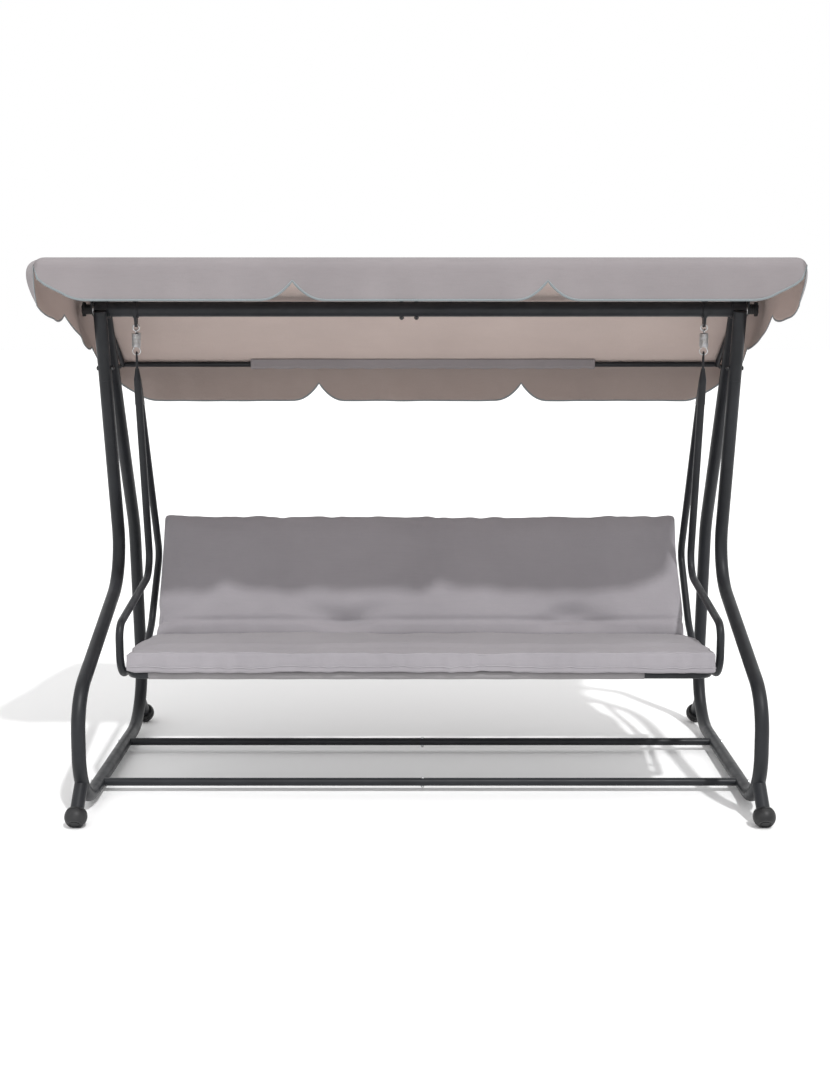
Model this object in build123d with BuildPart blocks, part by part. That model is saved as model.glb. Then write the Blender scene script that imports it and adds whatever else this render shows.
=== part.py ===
from build123d import *
from math import cos, hypot, radians, sin, sqrt
import os

# Canopy swing bench, millimetres. +X right, -Y front, +Z up; the feet stand on Z = 0.

# ---------------------------------------------------------------- driving dimensions
SIDE_X = 1050                 # centre plane of each bent side frame
LEG_D = 44                    # leg and base tube
LEG_WALL = 2
SPIGOT_GAP = 0.1              # radial clearance of every telescoped tube joint

BEAM_Z = 1567                 # top beam
BEAM_D = 50
BEAM_WALL = 2
BEAM_END_X = 1075
BEAM_SEAM_X = -79
BEAM_BOLT_X = (-61, -12)

HEAD_SEAM_Z = 1335            # where the legs plug into the leg heads
HEAD_BOLT_Z = 1372
BASE_Z = 33
BASE_FRONT_Y = -290
BASE_REAR_Y = 260

BAR_D = 26                    # floor cross bars
BAR_WALL = 1.5
BAR_Z = 34
BAR_FRONT_Y = -245
BAR_REAR_Y = 202
BAR_SEAM_X = -20

FOOT_Y = 578                  # centre of each round foot cap
FOOT_Z = 34
FOOT_R = 35
FRONT_WELD = (-486, 120)      # Y, Z where each foot stub leaves its leg
REAR_WELD = (489, 110)

HANG_X = 940                  # plane of the hooks, springs, hangers and armrests
PIVOT_Z = 1517                # swing axis, where the ring sits in the hook
HANGER_D = 25
HANGER_WALL = 1.5
YOKE_TIP_Z = 1372
YOKE_BASE_Z = 1250

SEAT_X = 905                  # seat frame tube
SEAT_FRONT_Y = -430
SEAT_FRONT_Z = 440
SEAT_REAR_Y = 30
SEAT_TUBE_END_Y = 140
SEAT_FALL = 0.127             # fall of the seat towards the rear
SLING_THICK = 1.6
CUSHION_THICK = 66
CUSHION_HALF_X = 915

RECLINE_Y = 105               # axis of the reclining backrest
RECLINE_Z = 345
BACK_X = 872
BACK_D = 22
BACK_ANGLE = 32.1             # backrest lean from the vertical
BACK_LENGTH = 455
BACK_FOOT = (105, 386)        # Y, Z where the back frame's line starts
BACK_CUSHION_HALF_X = 905

CANOPY_D = 19                 # canopy bars
CANOPY_SIDE_X = 1091
CANOPY_HALF_X = 1120
CANOPY_FRONT = (-530, 1711)   # Y, Z of the front bar
CANOPY_MIDDLE = (0, 1620)
CANOPY_REAR = (526, 1362)
FABRIC = 2
FRONT_HEM_Z = 1588
FRONT_CUSP_Z = 1644
REAR_HEM_Z = 1207
REAR_CUSP_Z = 1272
CUSP_X = 374
SCALLOP_CORNER = 130
SIDE_CUSP_Y = 180
SIDE_DROP = 183
SIDE_CUSP_DROP = 130
SIDE_CORNER_DROP = 62

LEG_R = LEG_D / 2
BEAM_R = BEAM_D / 2
HANGER_R = HANGER_D / 2
SIDES = (("left", -1), ("right", 1))

os.makedirs("parts", exist_ok=True)


# ---------------------------------------------------------------- helpers
def save(builder, label):
    """Name a finished piece and write its file."""
    builder.part.label = label
    export_step(builder.part, f"parts/{label}.step")


def in_side_plane(x, outline):
    """Points of a side frame, from their Y and Z."""
    return [(x, y, z) for y, z in outline]


def bent_tube(points, radii, outer, wall):
    """Hollow tube along straight runs that are joined by tangent bends."""
    with BuildPart() as pipe:
        with BuildLine() as path:
            FilletPolyline(*points, radius=radii)
        with BuildSketch(Plane(origin=path.line @ 0, z_dir=path.line % 0)):
            Circle(outer / 2)
            Circle(outer / 2 - wall, mode=Mode.SUBTRACT)
        sweep()
    return pipe.part


def straight_tube(start, end, outer, inner=0):
    """Straight tube or rod between two points."""
    run = Vector(*end) - Vector(*start)
    with BuildPart() as pipe:
        with BuildSketch(Plane(origin=start, z_dir=run)):
            Circle(outer / 2)
            if inner:
                Circle(inner / 2, mode=Mode.SUBTRACT)
        extrude(amount=run.length)
    return pipe.part


def bolt(start, direction, grip, radius):
    """Domed bolt from its head's seat, and the domed nut at the far end of its grip."""
    axis = Vector(*direction).normalized()
    head = Plane(origin=start, z_dir=axis * -1)
    seat = Plane(origin=Vector(*start) + axis * grip, z_dir=axis)
    shank = Plane(origin=start, z_dir=axis)
    with BuildPart() as screw:
        with BuildSketch(head):
            Circle(radius * 1.9)
        extrude(amount=radius)
        fillet(screw.edges().sort_by(Axis(start, tuple(axis * -1)))[-1], radius * 0.7)
        with BuildSketch(shank):
            Circle(radius)
        extrude(amount=grip + radius * 1.4)
    with BuildPart() as nut:
        with BuildSketch(seat):
            RegularPolygon(radius=radius * 1.9, side_count=6)
        extrude(amount=radius * 1.5)
        with BuildSketch(seat.offset(radius * 1.5)):
            Circle(radius * 1.5)
        extrude(amount=radius * 0.9, taper=35)
        with BuildSketch(seat):
            Circle(radius + 0.05)
        extrude(amount=radius * 1.5, mode=Mode.SUBTRACT)
    return [screw.part, nut.part]


def ring(centre, axis, major, wire):
    """Closed round ring of round wire."""
    with BuildPart() as loop:
        with BuildSketch(Plane(origin=centre, x_dir=(0, 0, 1), z_dir=Vector(0, 0, 1).cross(Vector(*axis)))):
            with Locations((major, 0)):
                Circle(wire)
        revolve(axis=Axis(centre, axis), revolution_arc=360)
    return loop.part


def group(solids, label):
    """Identical pieces that share one node."""
    with BuildPart() as pieces:
        add(solids)
    save(pieces, label)


def seat_z(y):
    """Height of the seat frame's centre plane."""
    return SEAT_FRONT_Z - SEAT_FALL * (y - SEAT_FRONT_Y)


# ---------------------------------------------------------------- top beam
beam_start = Plane.YZ.offset(-BEAM_END_X)
beam_seam = Plane.YZ.offset(BEAM_SEAM_X)
swage_r = BEAM_R - BEAM_WALL - SPIGOT_GAP
bolt_holes = [(x, 0, BEAM_Z) for x in BEAM_BOLT_X]
bolt_r = 4

with BuildPart() as beam_left:
    with BuildSketch(beam_start):
        with Locations((0, BEAM_Z)):
            Circle(BEAM_R)
            Circle(BEAM_R - BEAM_WALL, mode=Mode.SUBTRACT)
    extrude(amount=BEAM_END_X + BEAM_SEAM_X - 4)
    with BuildSketch(beam_seam.offset(-4)):
        with Locations((0, BEAM_Z)):
            Circle(BEAM_R)
            Circle(swage_r - 2 * BEAM_WALL, mode=Mode.SUBTRACT)
    extrude(amount=4)
    with BuildSketch(beam_seam):
        with Locations((0, BEAM_Z)):
            Circle(swage_r)
            Circle(swage_r - BEAM_WALL, mode=Mode.SUBTRACT)
    extrude(amount=100)
    with Locations(*bolt_holes):
        Cylinder(bolt_r + 0.1, BEAM_D * 2, mode=Mode.SUBTRACT)
save(beam_left, "beam_left")

with BuildPart() as beam_right:
    with BuildSketch(beam_seam.offset(0.2)):
        with Locations((0, BEAM_Z)):
            Circle(BEAM_R)
            Circle(BEAM_R - BEAM_WALL, mode=Mode.SUBTRACT)
    extrude(amount=BEAM_END_X - BEAM_SEAM_X - 0.2)
    with Locations(*bolt_holes):
        Cylinder(bolt_r + 0.1, BEAM_D * 2, mode=Mode.SUBTRACT)
save(beam_right, "beam_right")

beam_bolts = [bolt((x, 0, BEAM_Z + BEAM_R + 0.3), (0, 0, -1), BEAM_D + 0.6, bolt_r) for x in BEAM_BOLT_X]
group(sum(beam_bolts, []), "beam_joint_bolts")

STUD_D = 10
PLUG_FLANGE = 2.5
plug_face_x = BEAM_END_X + PLUG_FLANGE
stud_end_x = plug_face_x + 33
plugs = []
for _, side in SIDES:
    with BuildPart() as plug:
        with BuildSketch(Plane.YZ.offset(side * (BEAM_END_X - 25))):
            with Locations((0, BEAM_Z)):
                Circle(BEAM_R - BEAM_WALL - SPIGOT_GAP)
        extrude(amount=side * 25)
        with BuildSketch(Plane.YZ.offset(side * (BEAM_END_X + 0.05))):
            with Locations((0, BEAM_Z)):
                Circle(BEAM_R - 0.5)
        extrude(amount=side * PLUG_FLANGE)
        with BuildSketch(Plane.YZ.offset(side * (BEAM_END_X - 5))):
            with Locations((0, BEAM_Z)):
                Circle(STUD_D / 2)
        extrude(amount=side * (stud_end_x - BEAM_END_X + 5))
    plugs.append(plug.part)
group(plugs, "beam_end_plugs")


# ---------------------------------------------------------------- legs and leg heads
FRONT_KNEE = (212, 655)
FRONT_ELBOW = (-517, 380)
REAR_KNEE = (466, 770)
REAR_TOE = (561, BASE_Z)
FRONT_SLOPE = 0.28            # how far back each upper run goes for its fall
REAR_SLOPE = 0.54
HEAD_TOP_Z = 1562
SPIGOT_LENGTH = 60
front_seam = (FRONT_KNEE[0] - FRONT_SLOPE * (HEAD_SEAM_Z - FRONT_KNEE[1]), HEAD_SEAM_Z)
rear_seam = (REAR_KNEE[0] - REAR_SLOPE * (HEAD_SEAM_Z - REAR_KNEE[1]), HEAD_SEAM_Z)
front_outline = [front_seam, FRONT_KNEE, FRONT_ELBOW, (FRONT_ELBOW[0], BASE_Z), (BASE_FRONT_Y, BASE_Z)]
rear_outline = [rear_seam, REAR_KNEE, REAR_TOE, (BASE_REAR_Y, BASE_Z)]
FRONT_BENDS = [180, 160, 180]
REAR_BENDS = [300, 200]
STUB_D = 42


def up_the_leg(x, seam, slope, height):
    """Point on a leg's upper run, and the unit vector that climbs it."""
    climb = Vector(0, -slope, 1).normalized()
    foot = Vector(x, seam[0], seam[1])
    return foot + climb * (height / climb.Z), climb


def make_leg(x, seam, slope, outline, bends, stub_from, foot_y):
    """Bent leg with its spigot for the leg head and its welded foot stub."""
    tube = bent_tube(in_side_plane(x, outline), bends, LEG_D, LEG_WALL)
    low, climb = up_the_leg(x, seam, slope, -4)
    high, climb = up_the_leg(x, seam, slope, SPIGOT_LENGTH)
    spigot_r = LEG_R - LEG_WALL
    spigot = straight_tube(tuple(low), tuple(high), 2 * spigot_r, 2 * spigot_r - 2 * LEG_WALL)
    foot = Vector(x, foot_y, FOOT_Z)
    weld = Vector(x, *stub_from)
    stub_end = foot - (foot - weld).normalized() * 12
    stub = straight_tube(tuple(weld), tuple(stub_end), STUB_D)
    clear, climb = up_the_leg(x, seam, slope, HEAD_BOLT_Z - HEAD_SEAM_Z)
    with BuildPart() as leg:
        add(tube)
        add(spigot)
        add(stub)
        with Locations(Plane(origin=clear, z_dir=(1, 0, 0))):
            Cylinder(bolt_r + 0.1, LEG_D * 2, mode=Mode.SUBTRACT)
    return leg


for name, side in SIDES:
    x = side * SIDE_X
    front_leg = make_leg(x, front_seam, FRONT_SLOPE, front_outline, FRONT_BENDS, FRONT_WELD, -FOOT_Y)
    save(front_leg, f"front_leg_{name}")
    rear_leg = make_leg(x, rear_seam, REAR_SLOPE, rear_outline, REAR_BENDS, REAR_WELD, FOOT_Y)
    save(rear_leg, f"rear_leg_{name}")

head_bolts = []
for name, side in SIDES:
    x = side * SIDE_X
    sockets = []
    bores = []
    crossings = []
    for seam, slope in ((front_seam, FRONT_SLOPE), (rear_seam, REAR_SLOPE)):
        start, climb = up_the_leg(x, seam, slope, 0.3)
        top, climb = up_the_leg(x, seam, slope, HEAD_TOP_Z - HEAD_SEAM_Z)
        bore_top, climb = up_the_leg(x, seam, slope, 150)
        below, climb = up_the_leg(x, seam, slope, -20)
        crossing, climb = up_the_leg(x, seam, slope, HEAD_BOLT_Z - HEAD_SEAM_Z)
        sockets.append(straight_tube(tuple(start), tuple(top), LEG_D))
        bores.append(straight_tube(tuple(below), tuple(bore_top), LEG_D - 2 * LEG_WALL + 2 * SPIGOT_GAP))
        crossings.append(crossing)
        outer_x = x + side * (LEG_R + 0.3)
        head_bolts += bolt((outer_x, crossing.Y, crossing.Z), (-side, 0, 0), LEG_D + 0.6, bolt_r)
    collar_plane = Plane(origin=(x, 0, BEAM_Z), z_dir=(1, 0, 0))
    with BuildPart() as leg_head:
        with Locations(collar_plane):
            Cylinder(BEAM_R + 5, LEG_D + 2)
        for socket in sockets:
            add(socket)
        with Locations(collar_plane):
            Cylinder(BEAM_R + SPIGOT_GAP, LEG_D * 2, mode=Mode.SUBTRACT)
        for bore in bores:
            add(bore, mode=Mode.SUBTRACT)
        for crossing in crossings:
            with Locations(Plane(origin=crossing, z_dir=(1, 0, 0))):
                Cylinder(bolt_r + 0.1, LEG_D * 2, mode=Mode.SUBTRACT)
    save(leg_head, f"leg_head_{name}")
group(head_bolts, "leg_head_bolts")


# ---------------------------------------------------------------- base tubes and cross bars
BAR_BOLT_INNER_X = 985
BASE_INSERT = 50              # how far the base tube's sleeve runs into each leg
BAR_BOLT_SHIFT = 28           # from a bar's seam to its bolt
bars = (("front", BAR_FRONT_Y), ("rear", BAR_REAR_Y))

for name, side in SIDES:
    x = side * SIDE_X
    spigot_d = LEG_D - 2 * LEG_WALL - 2 * SPIGOT_GAP
    inner_d = spigot_d - 2 * LEG_WALL
    skin = straight_tube((x, BASE_FRONT_Y + 0.2, BASE_Z), (x, BASE_REAR_Y - 0.2, BASE_Z), LEG_D, inner_d)
    sleeve = straight_tube(
        (x, BASE_FRONT_Y - BASE_INSERT, BASE_Z), (x, BASE_REAR_Y + BASE_INSERT, BASE_Z), spigot_d, inner_d
    )
    with BuildPart() as base_tube:
        add(skin)
        add(sleeve)
        for _, bar_y in bars:
            with Locations(Plane(origin=(x, bar_y, BAR_Z), z_dir=(1, 0, 0))):
                Cylinder(bolt_r + 0.1, LEG_D * 2, mode=Mode.SUBTRACT)
    save(base_tube, f"base_tube_{name}")

bar_end_bolts = []
bar_joint_bolts = []
bar_inner = BAR_D - 2 * BAR_WALL
for place, bar_y in bars:
    for name, side in SIDES:
        x = side * SIDE_X
        seam_x = BAR_SEAM_X + side * 0.1
        skin = straight_tube((seam_x, bar_y, BAR_Z), (x, bar_y, BAR_Z), BAR_D, bar_inner)
        insert_from = (side * BAR_BOLT_INNER_X, bar_y, BAR_Z)
        insert_to = (side * (BAR_BOLT_INNER_X + 25), bar_y, BAR_Z)
        insert = straight_tube(insert_from, insert_to, bar_inner + 0.5)
        spigot_d = bar_inner - 2 * SPIGOT_GAP
        spigot = straight_tube(
            (BAR_SEAM_X + 60, bar_y, BAR_Z), (BAR_SEAM_X - 4, bar_y, BAR_Z), spigot_d, spigot_d - 4
        )
        collar = straight_tube(
            (BAR_SEAM_X - 4, bar_y, BAR_Z), (BAR_SEAM_X - 0.1, bar_y, BAR_Z), BAR_D - 1, spigot_d - 4
        )
        with BuildPart() as cross_bar:
            add(skin)
            add(insert)
            if name == "left":
                add(spigot)
                add(collar)
            with Locations(Plane(origin=(x, bar_y, BASE_Z), z_dir=(0, 1, 0))):
                Cylinder(LEG_R + 0.05, 3 * LEG_D, mode=Mode.SUBTRACT)
            with Locations(Plane(origin=(side * BAR_BOLT_INNER_X, bar_y, BAR_Z), z_dir=(1, 0, 0))):
                Cylinder(bolt_r + 0.1, 80, mode=Mode.SUBTRACT)
            with Locations((BAR_SEAM_X + BAR_BOLT_SHIFT, bar_y, BAR_Z)):
                Cylinder(3.1, 40, mode=Mode.SUBTRACT)
        save(cross_bar, f"{place}_cross_bar_{name}")
        head_x = x + side * (LEG_R + 0.3)
        with BuildPart() as end_bolt:
            with Locations(Plane(origin=(head_x, bar_y, BAR_Z), z_dir=(side, 0, 0))):
                Cylinder(7.5, 4, align=(Align.CENTER, Align.CENTER, Align.MIN))
                Cylinder(bolt_r, 85, align=(Align.CENTER, Align.CENTER, Align.MAX))
        bar_end_bolts.append(end_bolt.part)
    joint_head = (BAR_SEAM_X + BAR_BOLT_SHIFT, bar_y, BAR_Z + BAR_D / 2 + 0.3)
    bar_joint_bolts += bolt(joint_head, (0, 0, -1), BAR_D + 0.6, 3)
group(bar_end_bolts, "cross_bar_end_bolts")
group(bar_joint_bolts, "cross_bar_joint_bolts")


# ---------------------------------------------------------------- foot caps
CAP_FACE = 26                 # from the cap's centre to its flat end
CAP_BACK = -20
GROOVE = (-12.2, -9.2)
STUB_END = -11.9


def foot_cap(x, end, stub_from):
    """Round plastic cap on a foot stub, cut flat where it stands on the ground."""
    centre = Vector(x, end * FOOT_Y, FOOT_Z)
    weld = Vector(x, *stub_from)
    outward = (centre - weld).normalized()
    cap_plane = Plane(origin=centre, x_dir=(1, 0, 0), z_dir=outward)
    with BuildPart() as cap:
        with Locations(cap_plane):
            Sphere(FOOT_R)
        split(bisect_by=cap_plane.offset(CAP_FACE), keep=Keep.BOTTOM)
        split(bisect_by=cap_plane.offset(CAP_BACK), keep=Keep.TOP)
        with BuildSketch(cap_plane.offset(CAP_FACE)):
            Circle(17)
            Circle(13, mode=Mode.SUBTRACT)
        extrude(amount=-2, mode=Mode.SUBTRACT)
        with BuildSketch(cap_plane.offset(GROOVE[0])):
            Circle(FOOT_R + 2)
            Circle(FOOT_R - 3.5, mode=Mode.SUBTRACT)
        extrude(amount=GROOVE[1] - GROOVE[0], mode=Mode.SUBTRACT)
        with BuildSketch(cap_plane.offset(STUB_END)):
            Circle(STUB_D / 2 + 0.1)
        extrude(amount=-20, mode=Mode.SUBTRACT)
        split(bisect_by=Plane.XY, keep=Keep.TOP)
    return cap.part


front_caps = [foot_cap(side * SIDE_X, -1, FRONT_WELD) for _, side in SIDES]
rear_caps = [foot_cap(side * SIDE_X, 1, REAR_WELD) for _, side in SIDES]
group(front_caps, "front_foot_caps")
group(rear_caps, "rear_foot_caps")


# ---------------------------------------------------------------- hooks, rings and springs
HOOK_WIDTH = 8
HOOK_BAND = 4                 # thickness of the strap round the beam
RING_MAJOR = 10.5
RING_WIRE = 2.5
SPRING_TOP_Z = 1487
SPRING_COILS = 10
COIL_PITCH = 4.4
COIL_R = 13
WIRE_R = 2.2
TOP_LOOP_Z = 1494.5
LOW_LOOP_Z = 1431
spring_bottom_z = SPRING_TOP_Z - SPRING_COILS * COIL_PITCH

hooks = []
for _, side in SIDES:
    with BuildPart() as hook:
        with BuildSketch(Plane.YZ.offset(side * HANG_X - HOOK_WIDTH / 2)):
            with Locations((0, BEAM_Z)):
                Circle(BEAM_R + HOOK_BAND)
            with Locations((0, PIVOT_Z)):
                Circle(9)
            make_hull()
            with Locations((0, BEAM_Z)):
                Circle(BEAM_R + 0.1, mode=Mode.SUBTRACT)
            with Locations((0, PIVOT_Z)):
                Circle(5, mode=Mode.SUBTRACT)
            with Locations((0, PIVOT_Z + 8)):
                Rectangle(10, 16, mode=Mode.SUBTRACT)
        extrude(amount=HOOK_WIDTH)
        with BuildSketch(Plane.YZ.offset(side * HANG_X - HOOK_WIDTH)):
            with Locations((0, BEAM_Z)):
                Circle(BEAM_R + HOOK_BAND)
                Circle(BEAM_R + 0.1, mode=Mode.SUBTRACT)
        extrude(amount=2 * HOOK_WIDTH)
    hooks.append(hook.part)
group(hooks, "beam_hooks")

ring_z = PIVOT_Z - RING_MAJOR
rings = [ring((side * HANG_X, 0, ring_z), (0, 1, 0), RING_MAJOR, RING_WIRE) for _, side in SIDES]
group(rings, "hook_rings")

for name, side in SIDES:
    x = side * HANG_X
    top_loop = ring((x, 0, TOP_LOOP_Z), (1, 0, 0), 7, 1.75)
    low_loop = ring((x, 0, LOW_LOOP_Z), (0, 1, 0), 11, 2)
    with BuildPart() as spring:
        with BuildSketch(Plane.XZ):
            with Locations((x + COIL_R / 2, (SPRING_TOP_Z + spring_bottom_z) / 2)):
                Rectangle(COIL_R, SPRING_TOP_Z - spring_bottom_z)
            with GridLocations(1, COIL_PITCH, 1, SPRING_COILS):
                with Locations((x + COIL_R, (SPRING_TOP_Z + spring_bottom_z) / 2)):
                    Circle(WIRE_R)
        revolve(axis=Axis((x, 0, 0), (0, 0, 1)), revolution_arc=360)
        with Locations((x, 0, spring_bottom_z + 4)):
            Cylinder(COIL_R - WIRE_R, SPRING_TOP_Z - spring_bottom_z - 8,
                     align=(Align.CENTER, Align.CENTER, Align.MIN), mode=Mode.SUBTRACT)
        add(top_loop)
        add(low_loop)
    save(spring, f"spring_{name}")


# ---------------------------------------------------------------- hanger rods and yokes
EYE_Z = 1418.5
ROD_D = 8
FRONT_HANG_SLOPE = 0.2337
REAR_HANG_SLOPE = 0.525
APEX_Z = 1350
yoke_front_y = FRONT_HANG_SLOPE * (APEX_Z - YOKE_BASE_Z)
yoke_rear_y = REAR_HANG_SLOPE * (APEX_Z - YOKE_BASE_Z)
yoke_centre_y = (yoke_front_y + yoke_rear_y) / 2

rods = []
yokes = []
for _, side in SIDES:
    x = side * HANG_X
    eye = ring((x, 0, EYE_Z), (1, 0, 0), 7.5, 2.5)
    shank = straight_tube((x, 0, 1346), (x, 0, EYE_Z - 7), ROD_D)
    with BuildPart() as rod:
        add(shank)
        add(eye)
    rods.append(rod.part)
    with BuildPart() as yoke:
        with BuildSketch(Plane.XY.offset(YOKE_BASE_Z)):
            with Locations((x, yoke_centre_y)):
                SlotOverall(yoke_rear_y - yoke_front_y + HANGER_D + 3, HANGER_D + 2, rotation=90)
        with BuildSketch(Plane.XY.offset(YOKE_TIP_Z - 40)):
            with Locations((x, 4)):
                SlotOverall(30, 24, rotation=90)
        loft()
        with BuildSketch(Plane.XY.offset(YOKE_TIP_Z - 40)):
            with Locations((x, 4)):
                SlotOverall(30, 24, rotation=90)
        with BuildSketch(Plane.XY.offset(YOKE_TIP_Z)):
            with Locations((x, 0)):
                SlotOverall(12.5, 12, rotation=90)
        loft()
        with Locations((x, 0, 1345)):
            Cylinder(
                ROD_D / 2 + 0.05, 60, align=(Align.CENTER, Align.CENTER, Align.MIN), mode=Mode.SUBTRACT
            )
    yokes.append(yoke.part)
group(rods, "hanger_rods")
group(yokes, "hanger_yokes")


# ---------------------------------------------------------------- hangers, armrests and side rails
ELBOW_Y = (APEX_Z - 655) * FRONT_HANG_SLOPE
RAIL_FRONT_Y = -395
RAIL_FRONT_Z = 430
RAIL_END_Y = 150
REAR_ELBOW_Z = 690
REAR_FOOT = (160, 472)
RAIL_JOIN_Y = 5
ARM_BOLT_Y = (-250, -40)


def rail_z(y):
    """Height of the armrest's side rail."""
    return RAIL_FRONT_Z - SEAT_FALL * (y - RAIL_FRONT_Y)


front_hanger_outline = [
    (0, APEX_Z),
    (ELBOW_Y, 655),
    (-400, 588),
    (RAIL_FRONT_Y, RAIL_FRONT_Z),
    (RAIL_END_Y, rail_z(RAIL_END_Y)),
]
rear_hanger_outline = [
    (0, APEX_Z),
    (REAR_HANG_SLOPE * (APEX_Z - REAR_ELBOW_Z), REAR_ELBOW_Z),
    REAR_FOOT,
    (RAIL_JOIN_Y, rail_z(RAIL_JOIN_Y) + 4),
]
arm_bolts = []
for name, side in SIDES:
    x = side * HANG_X
    front_tube = bent_tube(in_side_plane(x, front_hanger_outline), [80, 50, 80], HANGER_D, HANGER_WALL)
    rear_tube = bent_tube(in_side_plane(x, rear_hanger_outline), [60, 120], HANGER_D, HANGER_WALL)
    rail_from = (x, RAIL_FRONT_Y + 60, rail_z(RAIL_FRONT_Y + 60))
    rail = straight_tube(rail_from, (x, RAIL_END_Y, rail_z(RAIL_END_Y)), HANGER_D + 0.1)
    under_yoke = Plane.XY.offset(YOKE_BASE_Z - 0.1)
    with BuildPart() as front_hanger:
        add(front_tube)
        split(bisect_by=under_yoke, keep=Keep.BOTTOM)
        for y in ARM_BOLT_Y:
            with Locations(Plane(origin=(x, y, rail_z(y)), z_dir=(1, 0, 0))):
                Cylinder(bolt_r + 0.1, 60, mode=Mode.SUBTRACT)
    save(front_hanger, f"front_hanger_{name}")
    with BuildPart() as rear_hanger:
        add(rear_tube)
        split(bisect_by=under_yoke, keep=Keep.BOTTOM)
        add(rail, mode=Mode.SUBTRACT)
    save(rear_hanger, f"rear_hanger_{name}")
    for y in ARM_BOLT_Y:
        head_x = x + side * (HANGER_R + 0.3)
        grip = HANG_X - SEAT_X + HANGER_D + 0.6
        arm_bolts += bolt((head_x, y, rail_z(y)), (-side, 0, 0), grip, bolt_r)
        inner_x = side * (SEAT_X + HANGER_R + 0.2)
        outer_x = side * (HANG_X - HANGER_R - 0.2)
        spacer = straight_tube((inner_x, y, rail_z(y)), (outer_x, y, rail_z(y)), 16, 2 * bolt_r + 0.2)
        arm_bolts.append(spacer)
group(arm_bolts, "arm_bolts_and_spacers")


# ---------------------------------------------------------------- seat frame
seat_end_z = seat_z(SEAT_TUBE_END_Y)
seat_path = [
    (-SEAT_X, SEAT_TUBE_END_Y, seat_end_z),
    (-SEAT_X, SEAT_FRONT_Y, SEAT_FRONT_Z),
    (SEAT_X, SEAT_FRONT_Y, SEAT_FRONT_Z),
    (SEAT_X, SEAT_TUBE_END_Y, seat_end_z),
]
seat_loop = bent_tube(seat_path, 50, HANGER_D, HANGER_WALL)
with BuildPart() as seat_frame:
    add(seat_loop)
    for y in ARM_BOLT_Y:
        with Locations(Plane(origin=(0, y, rail_z(y)), z_dir=(1, 0, 0))):
            Cylinder(bolt_r + 0.1, 2 * SEAT_X + 60, mode=Mode.SUBTRACT)
save(seat_frame, "seat_frame")

rear_tube_x = SEAT_X - HANGER_R - 0.1
rear_tube_z = seat_z(SEAT_REAR_Y)
REAR_TUBE_D = 22
rear_skin = straight_tube(
    (-rear_tube_x, SEAT_REAR_Y, rear_tube_z), (rear_tube_x, SEAT_REAR_Y, rear_tube_z), REAR_TUBE_D, 19
)
group([rear_skin], "seat_rear_tube")

SLING_HALF_X = 845
SLEEVE_END_X = 692
seat_plane = Plane(
    origin=(-SLING_HALF_X, SEAT_FRONT_Y, SEAT_FRONT_Z), x_dir=(0, 1, -SEAT_FALL), z_dir=(1, 0, 0)
)
seat_run = (SEAT_REAR_Y - SEAT_FRONT_Y) * hypot(1, SEAT_FALL)
with BuildPart() as seat_sling:
    with BuildSketch(seat_plane):
        Circle(HANGER_R + 0.3 + SLING_THICK)
        with Locations((seat_run, 0)):
            Circle(REAR_TUBE_D / 2 + 0.3 + SLING_THICK)
        with Locations((seat_run / 2, HANGER_R + 0.3 + SLING_THICK / 2 - 0.7)):
            Rectangle(seat_run, SLING_THICK)
        Circle(HANGER_R + 0.3, mode=Mode.SUBTRACT)
        with Locations((seat_run, 0)):
            Circle(REAR_TUBE_D / 2 + 0.3, mode=Mode.SUBTRACT)
    extrude(amount=2 * SLING_HALF_X)
    with Locations((SLEEVE_END_X, SEAT_FRONT_Y - 30, SEAT_FRONT_Z - 40)):
        Box(300, 75, 80, align=(Align.MIN, Align.CENTER, Align.CENTER), mode=Mode.SUBTRACT)
save(seat_sling, "seat_sling")

CUSHION_FRONT_Y = -465
CUSHION_REAR_Y = 38
CUSHION_LIFT = 2.6            # from the sling's top to the cushion's underside
cushion_run = (CUSHION_REAR_Y - CUSHION_FRONT_Y) * hypot(1, SEAT_FALL)
cushion_base = HANGER_R + SLING_THICK + CUSHION_LIFT
cushion_plane = Plane(
    origin=(0, CUSHION_FRONT_Y, seat_z(CUSHION_FRONT_Y)), x_dir=(1, 0, 0), z_dir=(0, SEAT_FALL, 1)
).offset(cushion_base)
with BuildPart() as seat_cushion:
    with BuildSketch(cushion_plane):
        with Locations((0, cushion_run / 2)):
            RectangleRounded(2 * CUSHION_HALF_X, cushion_run, 22)
    extrude(amount=CUSHION_THICK)
    fillet(seat_cushion.faces().sort_by(Axis.Z)[-1].edges(), 14)
    fillet(seat_cushion.faces().sort_by(Axis.Z)[0].edges(), 14)
save(seat_cushion, "seat_cushion")


# ---------------------------------------------------------------- recline joint
BRACKET_X = 888               # inner face of the seat's bracket plates
EAR_X = 883.5                 # inner face of the backrest's ears
PLATE = 4
RECLINE_BOLT_R = 5
lean = radians(BACK_ANGLE)
along_back = (sin(lean), cos(lean))


def back_point(s, depth=0):
    """Y, Z of a point s up the back frame, and depth in front of its tubes' plane."""
    return (
        BACK_FOOT[0] + along_back[0] * s - along_back[1] * depth,
        BACK_FOOT[1] + along_back[1] * s + along_back[0] * depth,
    )


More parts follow.
